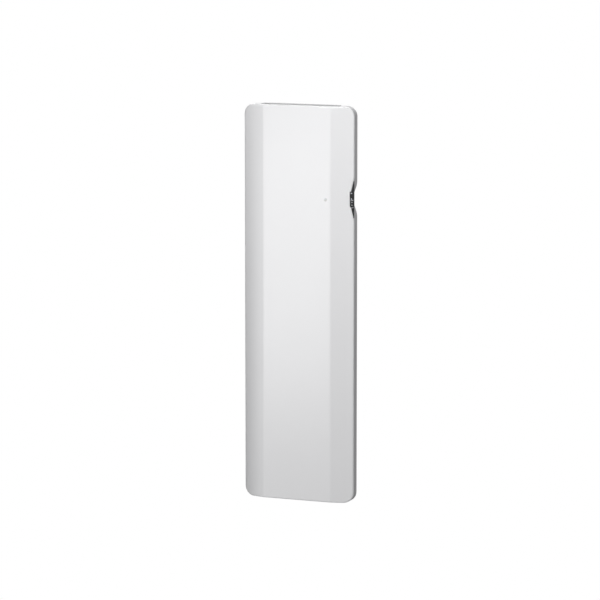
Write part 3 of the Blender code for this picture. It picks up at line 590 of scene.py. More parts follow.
def fade(away, start, end):
    """A smooth fall from 1 at start to 0 at end."""
    along = min(max((away - start) / (end - start), 0.0), 1.0)
    return (1 + math.cos(math.pi * along)) / 2


def notch_depth(z, notch):
    """How far the notch reaches in at a height: a broad hollow, and a step in the middle of it."""
    depth, floor, mouth, step = notch
    away = abs(z - NOTCH_Z)
    return depth * fade(away, floor, mouth) + step * fade(away, *STEP_ENDS)


def notch_heights(reach=1.0):
    """Levels at which the notch is drawn, up to a reach from its middle: closest together at its step."""
    start, end = STEP_ENDS
    mouth = NOTCH_FRONT[2]
    away = [start * (i - 0.5) / 7 for i in range(1, 8)]
    away += [start + (end - start) * i / 10 for i in range(11)]
    away += [end + (mouth - end) * i / 30 for i in range(1, 31)]
    away = [z for z in away if z < reach]
    return [NOTCH_Z - z for z in reversed(away)] + [NOTCH_Z + z for z in away]


def notch_at(y):
    share = min(max((y - LIP_Y) / (BACK_Y - LIP_Y), 0.0), 1.0)
    return tuple(a + (b - a) * share for a, b in zip(NOTCH_FRONT, NOTCH_BACK))


def outline(inset, notch):
    """The radiator's outline seen from the front, as (x, z), with the notch in its right side."""
    w, h, r = HALF_W - inset, HALF_H - inset, CORNER_R - inset
    points = arc((w - r, -h + r), r, -90, 0, 20)
    points += [(w - notch_depth(z, notch), z) for z in notch_heights()]
    points += arc((w - r, h - r), r, 0, 90, 20)
    points += arc((-w + r, h - r), r, 90, 180, 20)
    points += arc((-w + r, -h + r), r, 180, 270, 20)
    return points


def outline_ring(inset, y, notch):
    return [(x, y, z) for x, z in outline(inset, notch)]


def fold(x):
    """How far the front panel lies behind its flat centre at x: a soft crease, then a straight flank."""
    bend_start = CREASE_X - BEND_R * math.tan(FLANK_ANGLE / 2)
    past = abs(x) - bend_start
    if past <= 0:
        return 0.0
    if past < BEND_R * math.sin(FLANK_ANGLE):
        return BEND_R - math.sqrt(BEND_R**2 - past**2)
    return (abs(x) - CREASE_X) * math.tan(FLANK_ANGLE)


# Shells


def front_panel():
    """Folded sheet: drawn flat with rounded edges and a lip, split along its creases, then folded."""
    steps = 10
    outer = []
    inner = []
    for i in range(steps + 1):
        turn = math.pi / 2 * i / steps
        bend = EDGE_R - SHEET
        outer.append((EDGE_R * (1 - math.sin(turn)), EDGE_R * (1 - math.cos(turn))))
        inner.append((EDGE_R - bend * math.sin(turn), EDGE_R - bend * math.cos(turn)))
    lip_flag = 2 * EDGE_R
    section = outer + [(0.0, lip_flag), (SHEET, lip_flag)] + inner[::-1]
    rings = [outline_ring(inset, depth, NOTCH_FRONT) for inset, depth in section]
    panel = loft("front_panel_shell", rings, WHITE)
    bm = bmesh.new()
    bm.from_mesh(panel.data)
    bend_start = CREASE_X - BEND_R * math.tan(FLANK_ANGLE / 2)
    strips = 12
    for i in range(strips + 1):
        crease = bend_start + BEND_R * math.sin(FLANK_ANGLE * i / strips)
        for x in (-crease, crease):
            everything = bm.verts[:] + bm.edges[:] + bm.faces[:]
            bmesh.ops.bisect_plane(bm, geom=everything, plane_co=(x, 0, 0), plane_no=(1, 0, 0))
    for vert in bm.verts:
        on_lip = vert.co.y > EDGE_R * 1.5
        vert.co.y = LIP_Y if on_lip else FRONT_Y + fold(vert.co.x) + vert.co.y
    bm.to_mesh(panel.data)
    bm.free()
    x, _, z = middle_of("presence_lens")
    bore = [(0.0062, -0.004), (0.0062, 0.004)]
    cut(panel, turned("hole", bore, (x, FRONT_Y, z), INWARDS, WHITE))
    even_shading(panel)
    install(panel, "radiator", "panel_white", "front_panel")


def rear_casing():
    """A tray whose rim steps in behind the front panel's lip."""
    chamfer = 0.0004
    tongue = SHEET + chamfer
    steps = 8
    centre_y = BACK_Y - BACK_EDGE_R
    outer = [(tongue, TONGUE_Y), (tongue, RIM_Y), (chamfer, RIM_Y), (0.0, RIM_Y + chamfer)]
    inner = []
    for i in range(steps + 1):
        turn = math.pi / 2 * i / steps
        bend = BACK_EDGE_R - SHEET
        outer.append((BACK_EDGE_R * (1 - math.cos(turn)), centre_y + BACK_EDGE_R * math.sin(turn)))
        inner.append((BACK_EDGE_R - bend * math.cos(turn), centre_y + bend * math.sin(turn)))
    rim = [(tongue + SHEET, TONGUE_Y), (tongue + SHEET, RIM_Y + SHEET), (SHEET, RIM_Y + SHEET)]
    wall_steps = [RIM_Y + (centre_y - RIM_Y) * i / 7 for i in range(1, 7)]
    outer[4:4] = [(0.0, y) for y in wall_steps]
    rim += [(SHEET, y) for y in wall_steps]
    section = outer[::-1] + rim + inner
    rings = [outline_ring(inset, y, notch_at(y)) for inset, y in section]
    casing = loft("rear_casing_shell", rings, CASING)
    vents = [vent_under("top_outlet_grille", 0.0060, HALF_H)]
    vents.append(vent_under("bottom_inlet_grille", 0.0030, -HALF_H))
    cut(casing, *vents, control_opening(), switch_opening(), gland_opening())
    even_shading(casing)
    install(casing, "radiator", "casing_grey", "rear_casing")


def vent_under(node, margin, wall_z):
    """The cutter for the vent in the casing's wall under a grille."""
    middle_y = middle_of(node)[1]
    outline = rounded_around(0, middle_y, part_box(node)[1].x - margin, 0.0125, 0.004)
    return slab("vent", outline, "Z", wall_z - 0.01, wall_z + 0.01, CASING)


def control_opening():
    """The cutter for the casing where the control's arm reaches in."""
    return block(
        "opening",
        (HALF_W - 0.030, TONGUE_Y - 0.0025, NOTCH_Z - ARM_HALF_H - 2 * GAP),
        (HALF_W + 0.010, LIP_Y + 0.0117, NOTCH_Z + ARM_HALF_H + 2 * GAP),
        CASING,
    )


def switch_opening():
    x = middle_of("rocker_cap")[0]
    outline = rounded_around(x, NOTCH_Z, 0.0083, 0.0113, 0.001)
    return slab("opening", outline, "Y", BACK_Y - 0.006, BACK_Y + 0.004, CASING)


def gland_opening():
    x, _, z = middle_of("cable_gland")
    bore = [(0.0083, -0.01), (0.0083, 0.01)]
    return turned("opening", bore, (x, BACK_Y, z), INWARDS, CASING)


def grille(node, name):
    """A plate with a row of round-ended slots."""
    low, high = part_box(node)
    middle_y = middle_of(node)[1]
    plate_outline = rounded_box_outline(low.x, low.y, high.x, high.y, 0.003)
    plate = slab(name, plate_outline, "Z", low.z, high.z, GRILLE)
    bm = bmesh.new()
    for i in range(SLOT_COUNT):
        x = (i - (SLOT_COUNT - 1) / 2) * SLOT_PITCH
        points = rounded_around(x, middle_y, SLOT_HALF_W, SLOT_HALF_D, SLOT_CORNER_R, 5)
        rings = [[bm.verts.new((a, b, z)) for a, b in points] for z in (low.z - 0.002, high.z + 0.002)]
        for j in range(len(points)):
            k = (j + 1) % len(points)
            bm.faces.new((rings[0][j], rings[0][k], rings[1][k], rings[1][j]))
        bm.faces.new(rings[0])
        bm.faces.new(rings[1])
    cut(plate, finish_mesh(bm, "slots", GRILLE))
    rounded(plate, 0.0004)
    install(plate, "radiator", "grille_grey", node)


# Control


def face_frame():
    """The control face's own axes: across it, out of it, and the point where both are measured from."""
    across = Vector((math.cos(FLANK_ANGLE), math.sin(FLANK_ANGLE), 0))
    out = Vector((math.sin(FLANK_ANGLE), -math.cos(FLANK_ANGLE), 0))
    middle = Vector((FACE_X, FRONT_Y + fold(FACE_X), 0))
    return across, out, middle


def face_slab(name, points, top, bottom, material, bevel=0.0):
    """An outline of (across, height) on the control face, pushed inwards between two depths."""
    across, out, middle = face_frame()
    rings = []
    for depth in (top, bottom):
        rings.append([middle + across * a - out * depth + Vector((0, 0, z)) for a, z in points])
    piece = loft(name, rings, material)
    return rounded(piece, bevel) if bevel else piece


def face_turned(name, profile, z, material, closed=False):
    _, out, middle = face_frame()
    return turned(name, profile, middle + Vector((0, 0, z)), -out, material, 40, closed)


def key_heights():
    """The middle of each key, from the frame."""
    return {node: middle_of(node)[2] for node in ("upper_key", "lower_key")}


def window_levels():
    """The lowest and highest levels of the display window's hole."""
    low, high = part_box("display_window")
    return low.z - GAP, high.z + GAP


def control_fascia():
    """The gloss plate that fills the notch, with its straight outer edge in line with the side."""
    rings = []
    ease = 0.0005
    for z in notch_heights(CONTROL_REACH):
        inner = HALF_W - notch_depth(z, NOTCH_FRONT) + GAP
        outer = HALF_W - GAP
        small = min(ease, (outer - inner) * 0.3)
        section = [
            (inner, small), (inner + small * 0.3, small * 0.3), (inner + small, 0.0),
            (outer - small, 0.0), (outer - small * 0.3, small * 0.3), (outer, small),
            (outer, FASCIA_THICKNESS), (inner, FASCIA_THICKNESS),
        ]
        rings.append([(x, FRONT_Y + fold(x) + FACE_RECESS + depth, z) for x, depth in section])
    fascia = loft("control_fascia_plate", rings, FASCIA, sharp=BLUNT_ANGLE)
    low, high = window_levels()
    window = rounded_box_outline(-WINDOW_HALF_W, low, WINDOW_HALF_W, high, 0.0012)
    above, below = -0.002, 0.008
    bore = [(KEY_R + GAP, above), (KEY_R + GAP, below)]
    holes = [face_turned("hole", bore, z, FASCIA) for z in key_heights().values()]
    cut(fascia, face_slab("hole", window, above, below, FASCIA), *holes)
    even_shading(fascia)
    install(fascia, "radiator", "fascia_black", "control_fascia")


def housing_ring(z):
    """The housing's section at a height: flat behind the fascia, then a belly that tapers to its ends."""
    top = FACE_RECESS + FASCIA_THICKNESS + GAP
    depth = notch_depth(z, NOTCH_FRONT)
    share = fade(abs(z - NOTCH_Z), *NOTCH_FRONT[1:3])
    inner = HALF_W - depth + GAP
    outer = HALF_W - GAP
    front_in = FRONT_Y + fold(inner) + top
    front_out = FRONT_Y + fold(outer) + top
    back_in = max(front_in + 0.0024 + 0.0150 * share, LIP_Y)
    scoop = depth + (notch_depth(z, NOTCH_BACK) - depth) * (back_in - LIP_Y) / (BACK_Y - LIP_Y)
    belly_width = 0.5335 * (outer - inner)
    belly_depth = (0.0030 + 0.0062 * share) * min(1.0, share + 0.15)
    ring = [(inner, front_in, z), (outer, front_out, z)]
    for i in range(9):
        turn = math.pi / 2 * i / 8
        x = outer - belly_width * (1 - math.cos(turn))
        ring.append((x, front_out + 0.0012 + belly_depth * math.sin(turn), z))
    ring.append((HALF_W - scoop + 2 * GAP, back_in, z))
    return ring


def control_housing():
    """The moulding behind the fascia, seen from the side and from behind."""
    rings = [housing_ring(z) for z in notch_heights(CONTROL_REACH)]
    housing = loft("control_housing_moulding", rings, BLACK, sharp=BLUNT_ANGLE)
    arm_low = (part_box("control_housing")[0].x, LIP_Y + 0.0004, NOTCH_Z - ARM_HALF_H)
    arm_high = (HALF_W - 0.0133, LIP_Y + 0.0112, NOTCH_Z + ARM_HALF_H)
    join(housing, block("arm", arm_low, arm_high, BLACK))
    pocket = rounded_around(0, NOTCH_Z, 0.0050, ARM_HALF_H, 0.0005, 3)
    cut(housing, face_slab("pocket", pocket, 0.002, 0.0105, BLACK))
    even_shading(housing)
    install(housing, "radiator", "black_plastic", "control_housing")


def display():
    """The window, the dark display behind it, and what it shows: two digits, and two glowing arcs by the
    window's left edge that are partly display marks and partly a painted highlight of that edge.
    """
    low, high = window_levels()
    half = WINDOW_HALF_W - GAP
    points = rounded_box_outline(-half, low + GAP, half, high - GAP, 0.0010)
    window = face_slab("display_window_pane", points, 0.0018, 0.0030, PANE, 0.00015)
    install(window, "radiator", "display_window", "display_window")
    half = WINDOW_HALF_W - 0.0004
    points = rounded_box_outline(-half, low, half, high, 0.0005)
    module = face_slab("display_panel", points, 0.0036, 0.0060, DISPLAY, 0.0002)
    install(module, "radiator", "display", "display_module")
    middle = (low + high) / 2
    centre = (0.0015, middle)
    outer_r, inner_r = HIGHLIGHT_ARC_RADII
    # Two glowing arcs at the top and bottom of the window's left side: display marks that also stand for the
    # window edge's highlights, a painted highlight
    for name, start, end in (("high", 97, 117), ("low", 243, 263)):
        points = arc(centre, outer_r, start, end, 14) + arc(centre, inner_r, end, start, 14)
        install(face_slab(f"glowing_arc_painted_highlight_{name}", points, *MARK_DEPTHS, GLOW_PAINTED_HIGHLIGHT), "radiator", "display")
    for place, digit in enumerate((2, 1)):
        centre = (-0.0011 + 0.0026 * place, middle)
        for segment, points in digit_segments(digit, centre).items():
            name = f"digit_{place + 1}_{segment}"
            install(face_slab(name, points, *MARK_DEPTHS, PRINT), "radiator", "display")


def digit_segments(digit, centre):
    """The lit bars of a seven-segment digit, 1 or 2, as outlines of (across, height)."""
    lit = {1: "bc", 2: "abged"}[digit]
    x, z = centre
    w, h, s = 0.0009, 0.0018, 0.00016
    bars = {
        "a": (-w + s, h - s, w - s, h + s),
        "g": (-w + s, -s, w - s, s),
        "d": (-w + s, -h - s, w - s, -h + s),
        "b": (w - s, s, w + s, h),
        "e": (-w - s, -h, -w + s, -s),
        "c": (w - s, -h, w + s, -s),
    }
    outlines = {}
    for name in lit:
        x0, z0, x1, z1 = bars[name]
        outlines[name] = [(x + x0, z + z0), (x + x1, z + z0), (x + x1, z + z1), (x + x0, z + z1)]
    return outlines


def keys():
    """Dished round keys, each with a light ring let into its top."""
    ease = 0.0004
    flange_r = KEY_R + 0.0007
    stem_r = 0.0013
    dish = [(0.0002, 0.00125), (0.0012, 0.00115), (0.0020, 0.00100), (0.0027, 0.00092)]
    edge = [(KEY_R - ease * (1 - math.cos(t)), 0.0012 - 0.0003 * math.sin(t)) for t in (1.57, 1.0, 0.5, 0.0)]
    foot = [(KEY_R, 0.0040), (flange_r, 0.0040), (flange_r, 0.0046), (stem_r, 0.0046), (stem_r, 0.0056)]
    for node, z in key_heights().items():
        cap = face_turned(f"{node}_cap", dish + edge + foot, z, KEY)
        install(cap, node, "key_black", node)
        ring = [(0.0011, 0.00108), (0.0019, 0.00096), (0.0019, 0.00140), (0.0011, 0.00140)]
        mark = face_turned(f"{node}_ring", ring, z, PRINT, closed=True)
        install(mark, node, "key_black")


def control_trims():
    """Two light lines across the face, over and under the keys."""
    heights = key_heights()
    gap = (heights["upper_key"] - heights["lower_key"]) / 2
    levels = {"upper": heights["upper_key"] + gap + 0.0020, "lower": heights["lower_key"] - gap - 0.0045}
    for name, z in levels.items():
        points = rounded_box_outline(-0.0058, z - 0.0005, 0.0060, z + 0.0005, 0.0004, 4)
        trim = face_slab(f"control_trim_{name}", points, FACE_RECESS - 0.0002, FACE_RECESS + 0.0006, PRINT)
        install(trim, "radiator", "fascia_black")


# Presence sensor


def presence_lens():
    """A low milky dome with ring-shaped lens ridges, and its flange behind the panel."""
    x, _, z = middle_of("presence_lens")
    radius = 0.0058
    proud = FRONT_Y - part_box("presence_lens")[0].y + 0.0001
    profile = []
    steps = 36
    for i in range(1, steps + 1):
        turn = math.pi / 2 * i / steps
        ridge = 0.00006 * math.cos(i * math.pi * 0.5)
        profile.append((radius * math.sin(turn), FRONT_Y - (proud + ridge) * math.cos(turn)))
    profile += [(radius, FRONT_Y + 0.0015), (0.0078, FRONT_Y + 0.0015), (0.0078, FRONT_Y + 0.0025)]
    profile += [(0.0050, FRONT_Y + 0.0025), (0.0044, FRONT_Y + 0.0010)]
    lens = turned("presence_lens_dome", profile, (x, 0, z), INWARDS, LENS, 64)
    install(lens, "radiator", "sensor_lens", "presence_lens")


# Wall fixing


def upright_slot(x, half_w, low, high, start, end, radius):
    """A long outline with rounded corners, pushed along y."""
    outline = rounded_box_outline(x - half_w, low, x + half_w, high, radius, 8)
    return slab("slot", outline, "Y", start, end, ZINC)


def wall_bracket():
    """A pressed plate: two uprights with a bead in each, three rails, and an ear beside each hook."""
    low, high = BRACKET_Z
    outline = rounded_box_outline(-BRACKET_HALF_W, low, BRACKET_HALF_W, high, 0.005, 8)
    plate = slab("wall_bracket_plate", outline, "Y", -BRACKET_SHEET, 0.0, ZINC)
    window_x = BRACKET_HALF_W - 0.030
    foot_rail, half_rail, head_rail = 0.050, 0.025, 0.060
    through = (-0.01, 0.01)
    cuts = [
        upright_slot(0, window_x, low + foot_rail, -half_rail, *through, 0.008),
        upright_slot(0, window_x, half_rail, high - head_rail, *through, 0.008),
    ]
    screw_hole = [(0.0035, along) for along in through]
    for x in (-0.070, 0.070):
        for z in (low + 0.025, high - 0.025):
            cuts.append(turned("hole", screw_hole, (x, 0, z), INWARDS, ZINC, 32))
    middle = BRACKET_HALF_W - 0.015
    _, y, z = PIVOT
    ear_r = 2 * ROD_R
    ear = [(-0.001, z - 1.5 * ear_r)] + arc((y, z), ear_r, 270, 90, 24) + [(-0.001, z + 1.5 * ear_r)]
    for side in SIDES.values():
        for start, end in ((low + 0.075, -0.045), (0.045, high - 0.085)):
            join(plate, upright_slot(side * middle, 0.0055, start, end, -0.0032, -0.0010, 0.0054))
            groove = (start + 0.0015, end - 0.0015)
            cuts.append(upright_slot(side * middle, 0.0040, *groove, -0.0019, 0.01, 0.0039))
        edges = sorted(side * x for x in EAR_X)
        join(plate, slab("ear", ear, "X", *edges, ZINC))
        bore = [(ROD_R + GAP, edges[0] - 0.005), (ROD_R + GAP, edges[1] + 0.005)]
        cuts.append(turned("bore", bore, (0, y, z), ACROSS, ZINC, 32))
        rivet_hole = [(RIVET_R + GAP, along) for along in through]
        cuts.append(turned("hole", rivet_hole, (side * LATCH_X, 0, LATCH_Z), INWARDS, ZINC, 32))
    cut(plate, *cuts)
    rounded(plate, 0.0003)
    install(plate, "bracket", "zinc_steel", "wall_bracket")


def pivot_rod():
    ease = 0.0008
    end = []
    for turn in (0.0, 0.5, 1.0, 1.57):
        radius = ROD_R - ease * (1 - math.sin(turn))
        end.append((radius, ROD_HALF_LENGTH - ease * (1 - math.cos(turn))))
    profile = [(radius, -along) for radius, along in end] + end[::-1]
    rod = turned("pivot_rod_turned", profile, PIVOT, ACROSS, ZINC, 40)
    install(rod, "bracket", "zinc_steel", "pivot_rod")


def hanging_hook(side_name, side):
    """A plate with an open throat for the rod, standing on a riveted foot."""
    _, y, z = PIVOT
    seat = ROD_R + GAP
    low, high = z - 0.016, z + 0.026
    lip_y = y + seat + 0.003
    points = [(ON_BACK_Y, low), (y - seat, low)] + arc((y, z), seat, 180, 0, 24)
    points += [(y + seat, z - 0.007), (lip_y, z - 0.007), (lip_y, z + 0.004)]
    points += arc((lip_y - 0.004, z + 0.004), 0.004, 10, 50, 6)
    points += [(y + 0.002, z + 0.0105), (ON_BACK_Y, high)]
    x = side * HOOK_X
    hook = slab(f"hook_plate_{side_name}", points, "X", x - HOOK_HALF_T, x + HOOK_HALF_T, ZINC)
    outline = rounded_box_outline(x - 0.010, low, x + 0.010, high, 0.003, 6)
    join(hook, slab("foot", outline, "Y", ON_BACK_Y, ON_BACK_Y + 0.0018, ZINC))
    for across in (-0.0058, 0.0058):
        at = (x + across, ON_BACK_Y + 0.0017, z + 0.019)
        join(hook, turned("rivet", domed(0.0024, 0.0010), at, INWARDS, ZINC, 24))
    rounded(hook, 0.0003)
    install(hook, "radiator", "zinc_steel", f"hanging_hook_{side_name}")


def crown(radius, base, rise, turns):
    """Profile points over a round head, from its rim towards its middle."""
    return [(radius * math.cos(turn), base + rise * math.sin(turn)) for turn in turns]


def domed(radius, height):
    """The profile of a low domed head that stands on its own foot, its flat side first."""
    turns = [math.pi / 12 * i for i in range(6)]
    return [(radius, 0.0)] + crown(radius, 0.3 * height, 0.7 * height, turns)


def latch_outline():
    """A latch standing upright about its rivet: a round boss, a straight arm and a slot for the stud."""
    slot_r = 0.0042
    slot_end = 0.0015
    ease = 0.004
    boss = arc((0, 0), 0.011, -215, 35, 40)
    tip = arc((LATCH_HALF_W - ease, LATCH_LENGTH - ease), ease, 0, 90, 8)
    tip += arc((-LATCH_HALF_W + ease, LATCH_LENGTH - ease), ease, 90, 180, 8)
    mouth = math.degrees(math.asin((LATCH_HALF_W + 0.001) / CATCH_RADIUS))
    upper = arc((0, 0), CATCH_RADIUS + slot_r, 90 + mouth, 90, 8)
    lower = arc((0, 0), CATCH_RADIUS - slot_r, 90, 90 + mouth, 8)
    upper[0] = (-LATCH_HALF_W, upper[0][1])
    lower[-1] = (-LATCH_HALF_W, lower[-1][1])
    slot_floor = arc((slot_end, CATCH_RADIUS), slot_r, 90, -90, 20)
    return boss + tip + upper + slot_floor + lower


def leaning(points, side):
    """Points of a latch's outline, leaning outwards as it does at rest, at its place on the bracket."""
    cosine, sine = math.cos(LATCH_LEAN), math.sin(LATCH_LEAN)
    leant = [(x * cosine + z * sine, z * cosine - x * sine) for x, z in points]
    return [(side * (LATCH_X + x), LATCH_Z + z) for x, z in leant]


def top_latch(side_name, side):
    """The lever, bored for its rivet, and the tab at its end that a thumb pushes."""
    latch = slab(f"latch_lever_{side_name}", leaning(latch_outline(), side), "Y", *LATCH_Y, ZINC)
    half, top = LATCH_HALF_W - 0.0045, LATCH_LENGTH - 0.0003
    tab = [(-half, top - 0.002), (half, top - 0.002), (half, top), (-half, top)]
    tab_span = (LATCH_TAB_Y, LATCH_Y[0] + 0.0015)
    tab = slab(f"latch_tab_{side_name}", leaning(tab, side), "Y", *tab_span, ZINC)
    bore = [(RIVET_R + GAP, -0.02), (RIVET_R + GAP, 0.0)]
    cut(latch, turned("bore", bore, (side * LATCH_X, 0, LATCH_Z), INWARDS, ZINC, 32))
    for piece in (latch, tab):
        rounded(piece, 0.0003)
        install(piece, f"latch_{side_name}", "zinc_steel", f"top_latch_{side_name}")


def latch_rivet(side_name, side):
    front, back = LATCH_Y[0] - GAP, LATCH_Y[1] + GAP
    shoulder_r, shoulder_y = 0.0052, -BRACKET_SHEET - GAP
    profile = [(RIVET_R, -GAP), (RIVET_R, shoulder_y), (shoulder_r, shoulder_y), (shoulder_r, back)]
    profile += [(RIVET_R, back), (RIVET_R, front), (2 * RIVET_R, front)]
    profile += crown(2 * RIVET_R, front - 0.0004, -0.0013, DOME_TURNS)
    at = (side * LATCH_X, 0, LATCH_Z)
    rivet = turned(f"rivet_{side_name}", profile, at, INWARDS, ZINC, 40)
    install(rivet, "bracket", "zinc_steel", f"latch_rivet_{side_name}")


def catch_stud(side_name, side):
    foot_r, neck_r, head_r = 0.0090, 0.0028, 0.0070
    foot_y = ON_BACK_Y + 0.0017
    head_y = LATCH_Y[1] + 0.0015
    profile = [(foot_r, ON_BACK_Y), (foot_r, foot_y - 0.0004), (foot_r - 0.0004, foot_y), (neck_r, foot_y)]
    profile += [(neck_r, head_y), (head_r - 0.0003, head_y), (head_r, head_y + 0.0004)]
    profile += crown(head_r, head_y + 0.0008, 0.0012, DOME_TURNS)
    at = (side * LATCH_X, 0, LATCH_Z + CATCH_RADIUS)
    stud = turned(f"stud_{side_name}", profile, at, INWARDS, ZINC, 40)
    install(stud, "radiator", "zinc_steel", f"catch_stud_{side_name}")


def rail_screw(number):
    """A pan head with a cross recess, and its shank through the casing."""
    node = f"rail_screw_{number}"
    low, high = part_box(node)
    x, _, z = middle_of(node)
    shank_r, head_r = 0.0018, (high.x - low.x) / 2
    height = high.y - ON_BACK_Y
    rim_y = ON_BACK_Y + 0.4 * height
    profile = [(shank_r, low.y), (shank_r, ON_BACK_Y), (head_r, ON_BACK_Y), (head_r, rim_y)]
    profile += crown(head_r, rim_y, 0.6 * height, (0.3, 0.7, 1.1, 1.4))
    screw = turned(f"{node}_head", profile, (x, 0, z), INWARDS, ZINC, 40)
    arm, half = head_r * 0.6, head_r * 0.13
    top = high.y + 0.001
    floor_y = high.y - height * 0.6
    bar = block("bar", (x - arm, floor_y, z - half), (x + arm, top, z + half), ZINC)
    post = block("post", (x - half, floor_y, z - arm), (x + half, top, z + arm), ZINC)
    cut(screw, join(bar, post))
    install(screw, "radiator", "zinc_steel", node)


# Supply and switch


def cable_gland():
    """A flanged bush with a grooved collar round the cable."""
    low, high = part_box("cable_gland")
    x, _, z = middle_of("cable_gland")
    bore_r, flange_r = CABLE_R + 0.0005, (high.x - low.x) / 2
    body_r = 0.008
    profile = [(bore_r, low.y), (body_r, low.y), (body_r, ON_BACK_Y), (flange_r, ON_BACK_Y)]
    profile += [(flange_r, ON_BACK_Y + 0.0013), (flange_r - 0.0006, ON_BACK_Y + 0.0019)]
    profile += [(0.0075, ON_BACK_Y + 0.0019), (0.0071, ON_BACK_Y + 0.0015), (0.0067, ON_BACK_Y + 0.0019)]
    profile += [(0.0060, ON_BACK_Y + 0.0037), (bore_r, ON_BACK_Y + 0.0037)]
    gland = turned("gland_bush", profile, (x, 0, z), INWARDS, BLACK, closed=True)
    install(gland, "radiator", "black_plastic", "cable_gland")


def supply_cable():
    """The cable through the gland and down behind the casing, with its three cores spread at the end."""
    x, _, z = middle_of("cable_gland")
    points = [(x, y, z) for y in (-0.0480, -0.0380, -0.0290, -0.0235)]
    bend = arc((CABLE_TAIL_Y - CABLE_BEND_R, z - CABLE_BEND_R), CABLE_BEND_R, 90, 0, 4)
    points += [(x, across, up) for across, up in bend]
    points += [(x, CABLE_TAIL_Y, z - drop) for drop in (CABLE_TAIL / 3, CABLE_TAIL)]
    cable = tube("supply_cable_sheath", points, CABLE_R, MATERIALS["cable_sheath"])
    install(cable, "radiator", "cable_sheath", "supply_cable")
    top = z - CABLE_TAIL - GAP
    wire = [(0.0008, 0.0), (0.0008, -0.0041), (0.0006, -0.0045)]
    for place, colour in zip((-1, 0, 1), ("brown", "blue", "black")):
        slot = f"core_{colour}"
        together, apart = x + place * 0.0028, x + place * 0.0062
        stripped = (apart, CABLE_TAIL_Y, top - 0.0175)
        course = [(together, CABLE_TAIL_Y, top), (apart, CABLE_TAIL_Y, top - 0.010), stripped]
        core = tube(f"core_sheath_{colour}", course, 0.0012, MATERIALS[slot])
        install(core, "radiator", slot, f"supply_core_{colour}")
        strand = turned(f"core_wire_{colour}", wire, stripped, (0, 0, 1), COPPER, 20)
        install(strand, "radiator", slot)


def rocker_body():
    """The switch's tub, with a rounded bezel and a well for the cap."""
    low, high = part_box("rocker_body")
    x, _, z = middle_of("rocker_body")
    outline = rounded_around(x, z, 0.008, 0.011, 0.0006, 3)
    tub = slab("rocker_tub", outline, "Y", low.y, ON_BACK_Y + 0.001, BLACK)
    outline = rounded_box_outline(low.x, low.z, high.x, high.z, 0.0015, 6)
    join(tub, slab("bezel", outline, "Y", ON_BACK_Y, ON_BACK_Y + 0.0018, BLACK))
    well = rounded_around(x, z, WELL_HALF_W, WELL_HALF_H, 0.0004, 3)
    cut(tub, slab("well", well, "Y", -0.0330, 0.0, BLACK))
    rounded(tub, 0.0003)
    install(tub, "radiator", "black_plastic", "rocker_body")


def tipped(points):
    """Points (y, z) of the cap's section, tipped about its pin to its rest position."""
    cosine, sine = math.cos(CAP_LEAN), math.sin(CAP_LEAN)
    return [(CAP_PIN_Y + y * cosine - z * sine, NOTCH_Z + y * sine + z * cosine) for y, z in points]


def rocker_cap():
    """The dished cap, highest at its two ends."""
    x = middle_of("rocker_body")[0]
    half_w = WELL_HALF_W - GAP
    section = [(-0.0045, -CAP_HALF_LENGTH), (-0.0045, CAP_HALF_LENGTH)]
    for i in range(21):
        along = 1 - i / 10
        section.append((CAP_DIP + (CAP_RIM - CAP_DIP) * along**2, CAP_HALF_LENGTH * along))
    cap = slab("rocker_button", tipped(section), "X", x - half_w, x + half_w, BLACK)
    rounded(cap, 0.00025)
    install(cap, "rocker", "black_plastic", "rocker_cap")


def rocker_marks():
    """A bar over the cap's pin and a ring under it."""
    x = middle_of("rocker_body")[0]
    surface = CAP_DIP + 0.0004
    sunk = surface - 0.001
    bar = tipped([(sunk, 0.0038), (surface, 0.0038), (surface + 0.0004, 0.0062), (sunk, 0.0062)])
    install(slab("rocker_bar", bar, "X", x - 0.0004, x + 0.0004, PRINT), "rocker", "black_plastic")
    y, z = tipped([(surface, -MARK_HEIGHT)])[0]
    ring = [(0.0011, -0.0008), (0.0016, -0.0008), (0.0016, 0.0001), (0.0011, 0.0001)]
    slope = CAP_LEAN + 2 * (CAP_RIM - CAP_DIP) * MARK_HEIGHT / CAP_HALF_LENGTH**2
    out = (0, math.cos(slope), math.sin(slope))
    mark = turned("rocker_ring", ring, (x, y, z), out, PRINT, 32, closed=True)
    install(mark, "rocker", "black_plastic")


# Studio


def aim(thing, location, target):
    """Stands a light or the camera somewhere, facing its target."""
    thing.location = location
    thing.rotation_mode = "QUATERNION"
    thing.rotation_quaternion = (Vector(target) - Vector(location)).to_track_quat("-Z", "Y")


def lamp(name, location, target, width, height, power):
    """A soft white panel that faces its target and isn't seen itself."""
    data = bpy.data.lights.new(name, "AREA")
    data.shape = "RECTANGLE"
    data.size = width
    data.size_y = height
    data.energy = power
    light = added(name, data)
    aim(light, location, target)
    light.visible_camera = False


def surroundings():
    """A dim, even world that the camera sees as white."""
    world = bpy.data.worlds.new("studio")
    bpy.context.scene.world = world
    world.use_nodes = True
    tree = world.node_tree
    usual = tree.nodes["Background"]
    seen = tree.nodes.new("ShaderNodeBackground")
    for background, strength in ((usual, AMBIENT), (seen, 1.0)):
        background.inputs["Color"].default_value = (1.0, 1.0, 1.0, 1.0)
        background.inputs["Strength"].default_value = strength
    to_camera = tree.nodes.new("ShaderNodeLightPath").outputs["Is Camera Ray"]
    made = mixed_shader(tree, to_camera, usual.outputs["Background"], seen.outputs["Background"])
    tree.links.new(made, tree.nodes["World Output"].inputs["Surface"])


def floor():
    bm = bmesh.new()
    bmesh.ops.create_grid(bm, x_segments=1, y_segments=1, size=FLOOR_HALF)
    paper = finish_mesh(bm, "floor", pale_floor())
    paper.location = (0, 0, -HALF_H - FLOOR_DROP)


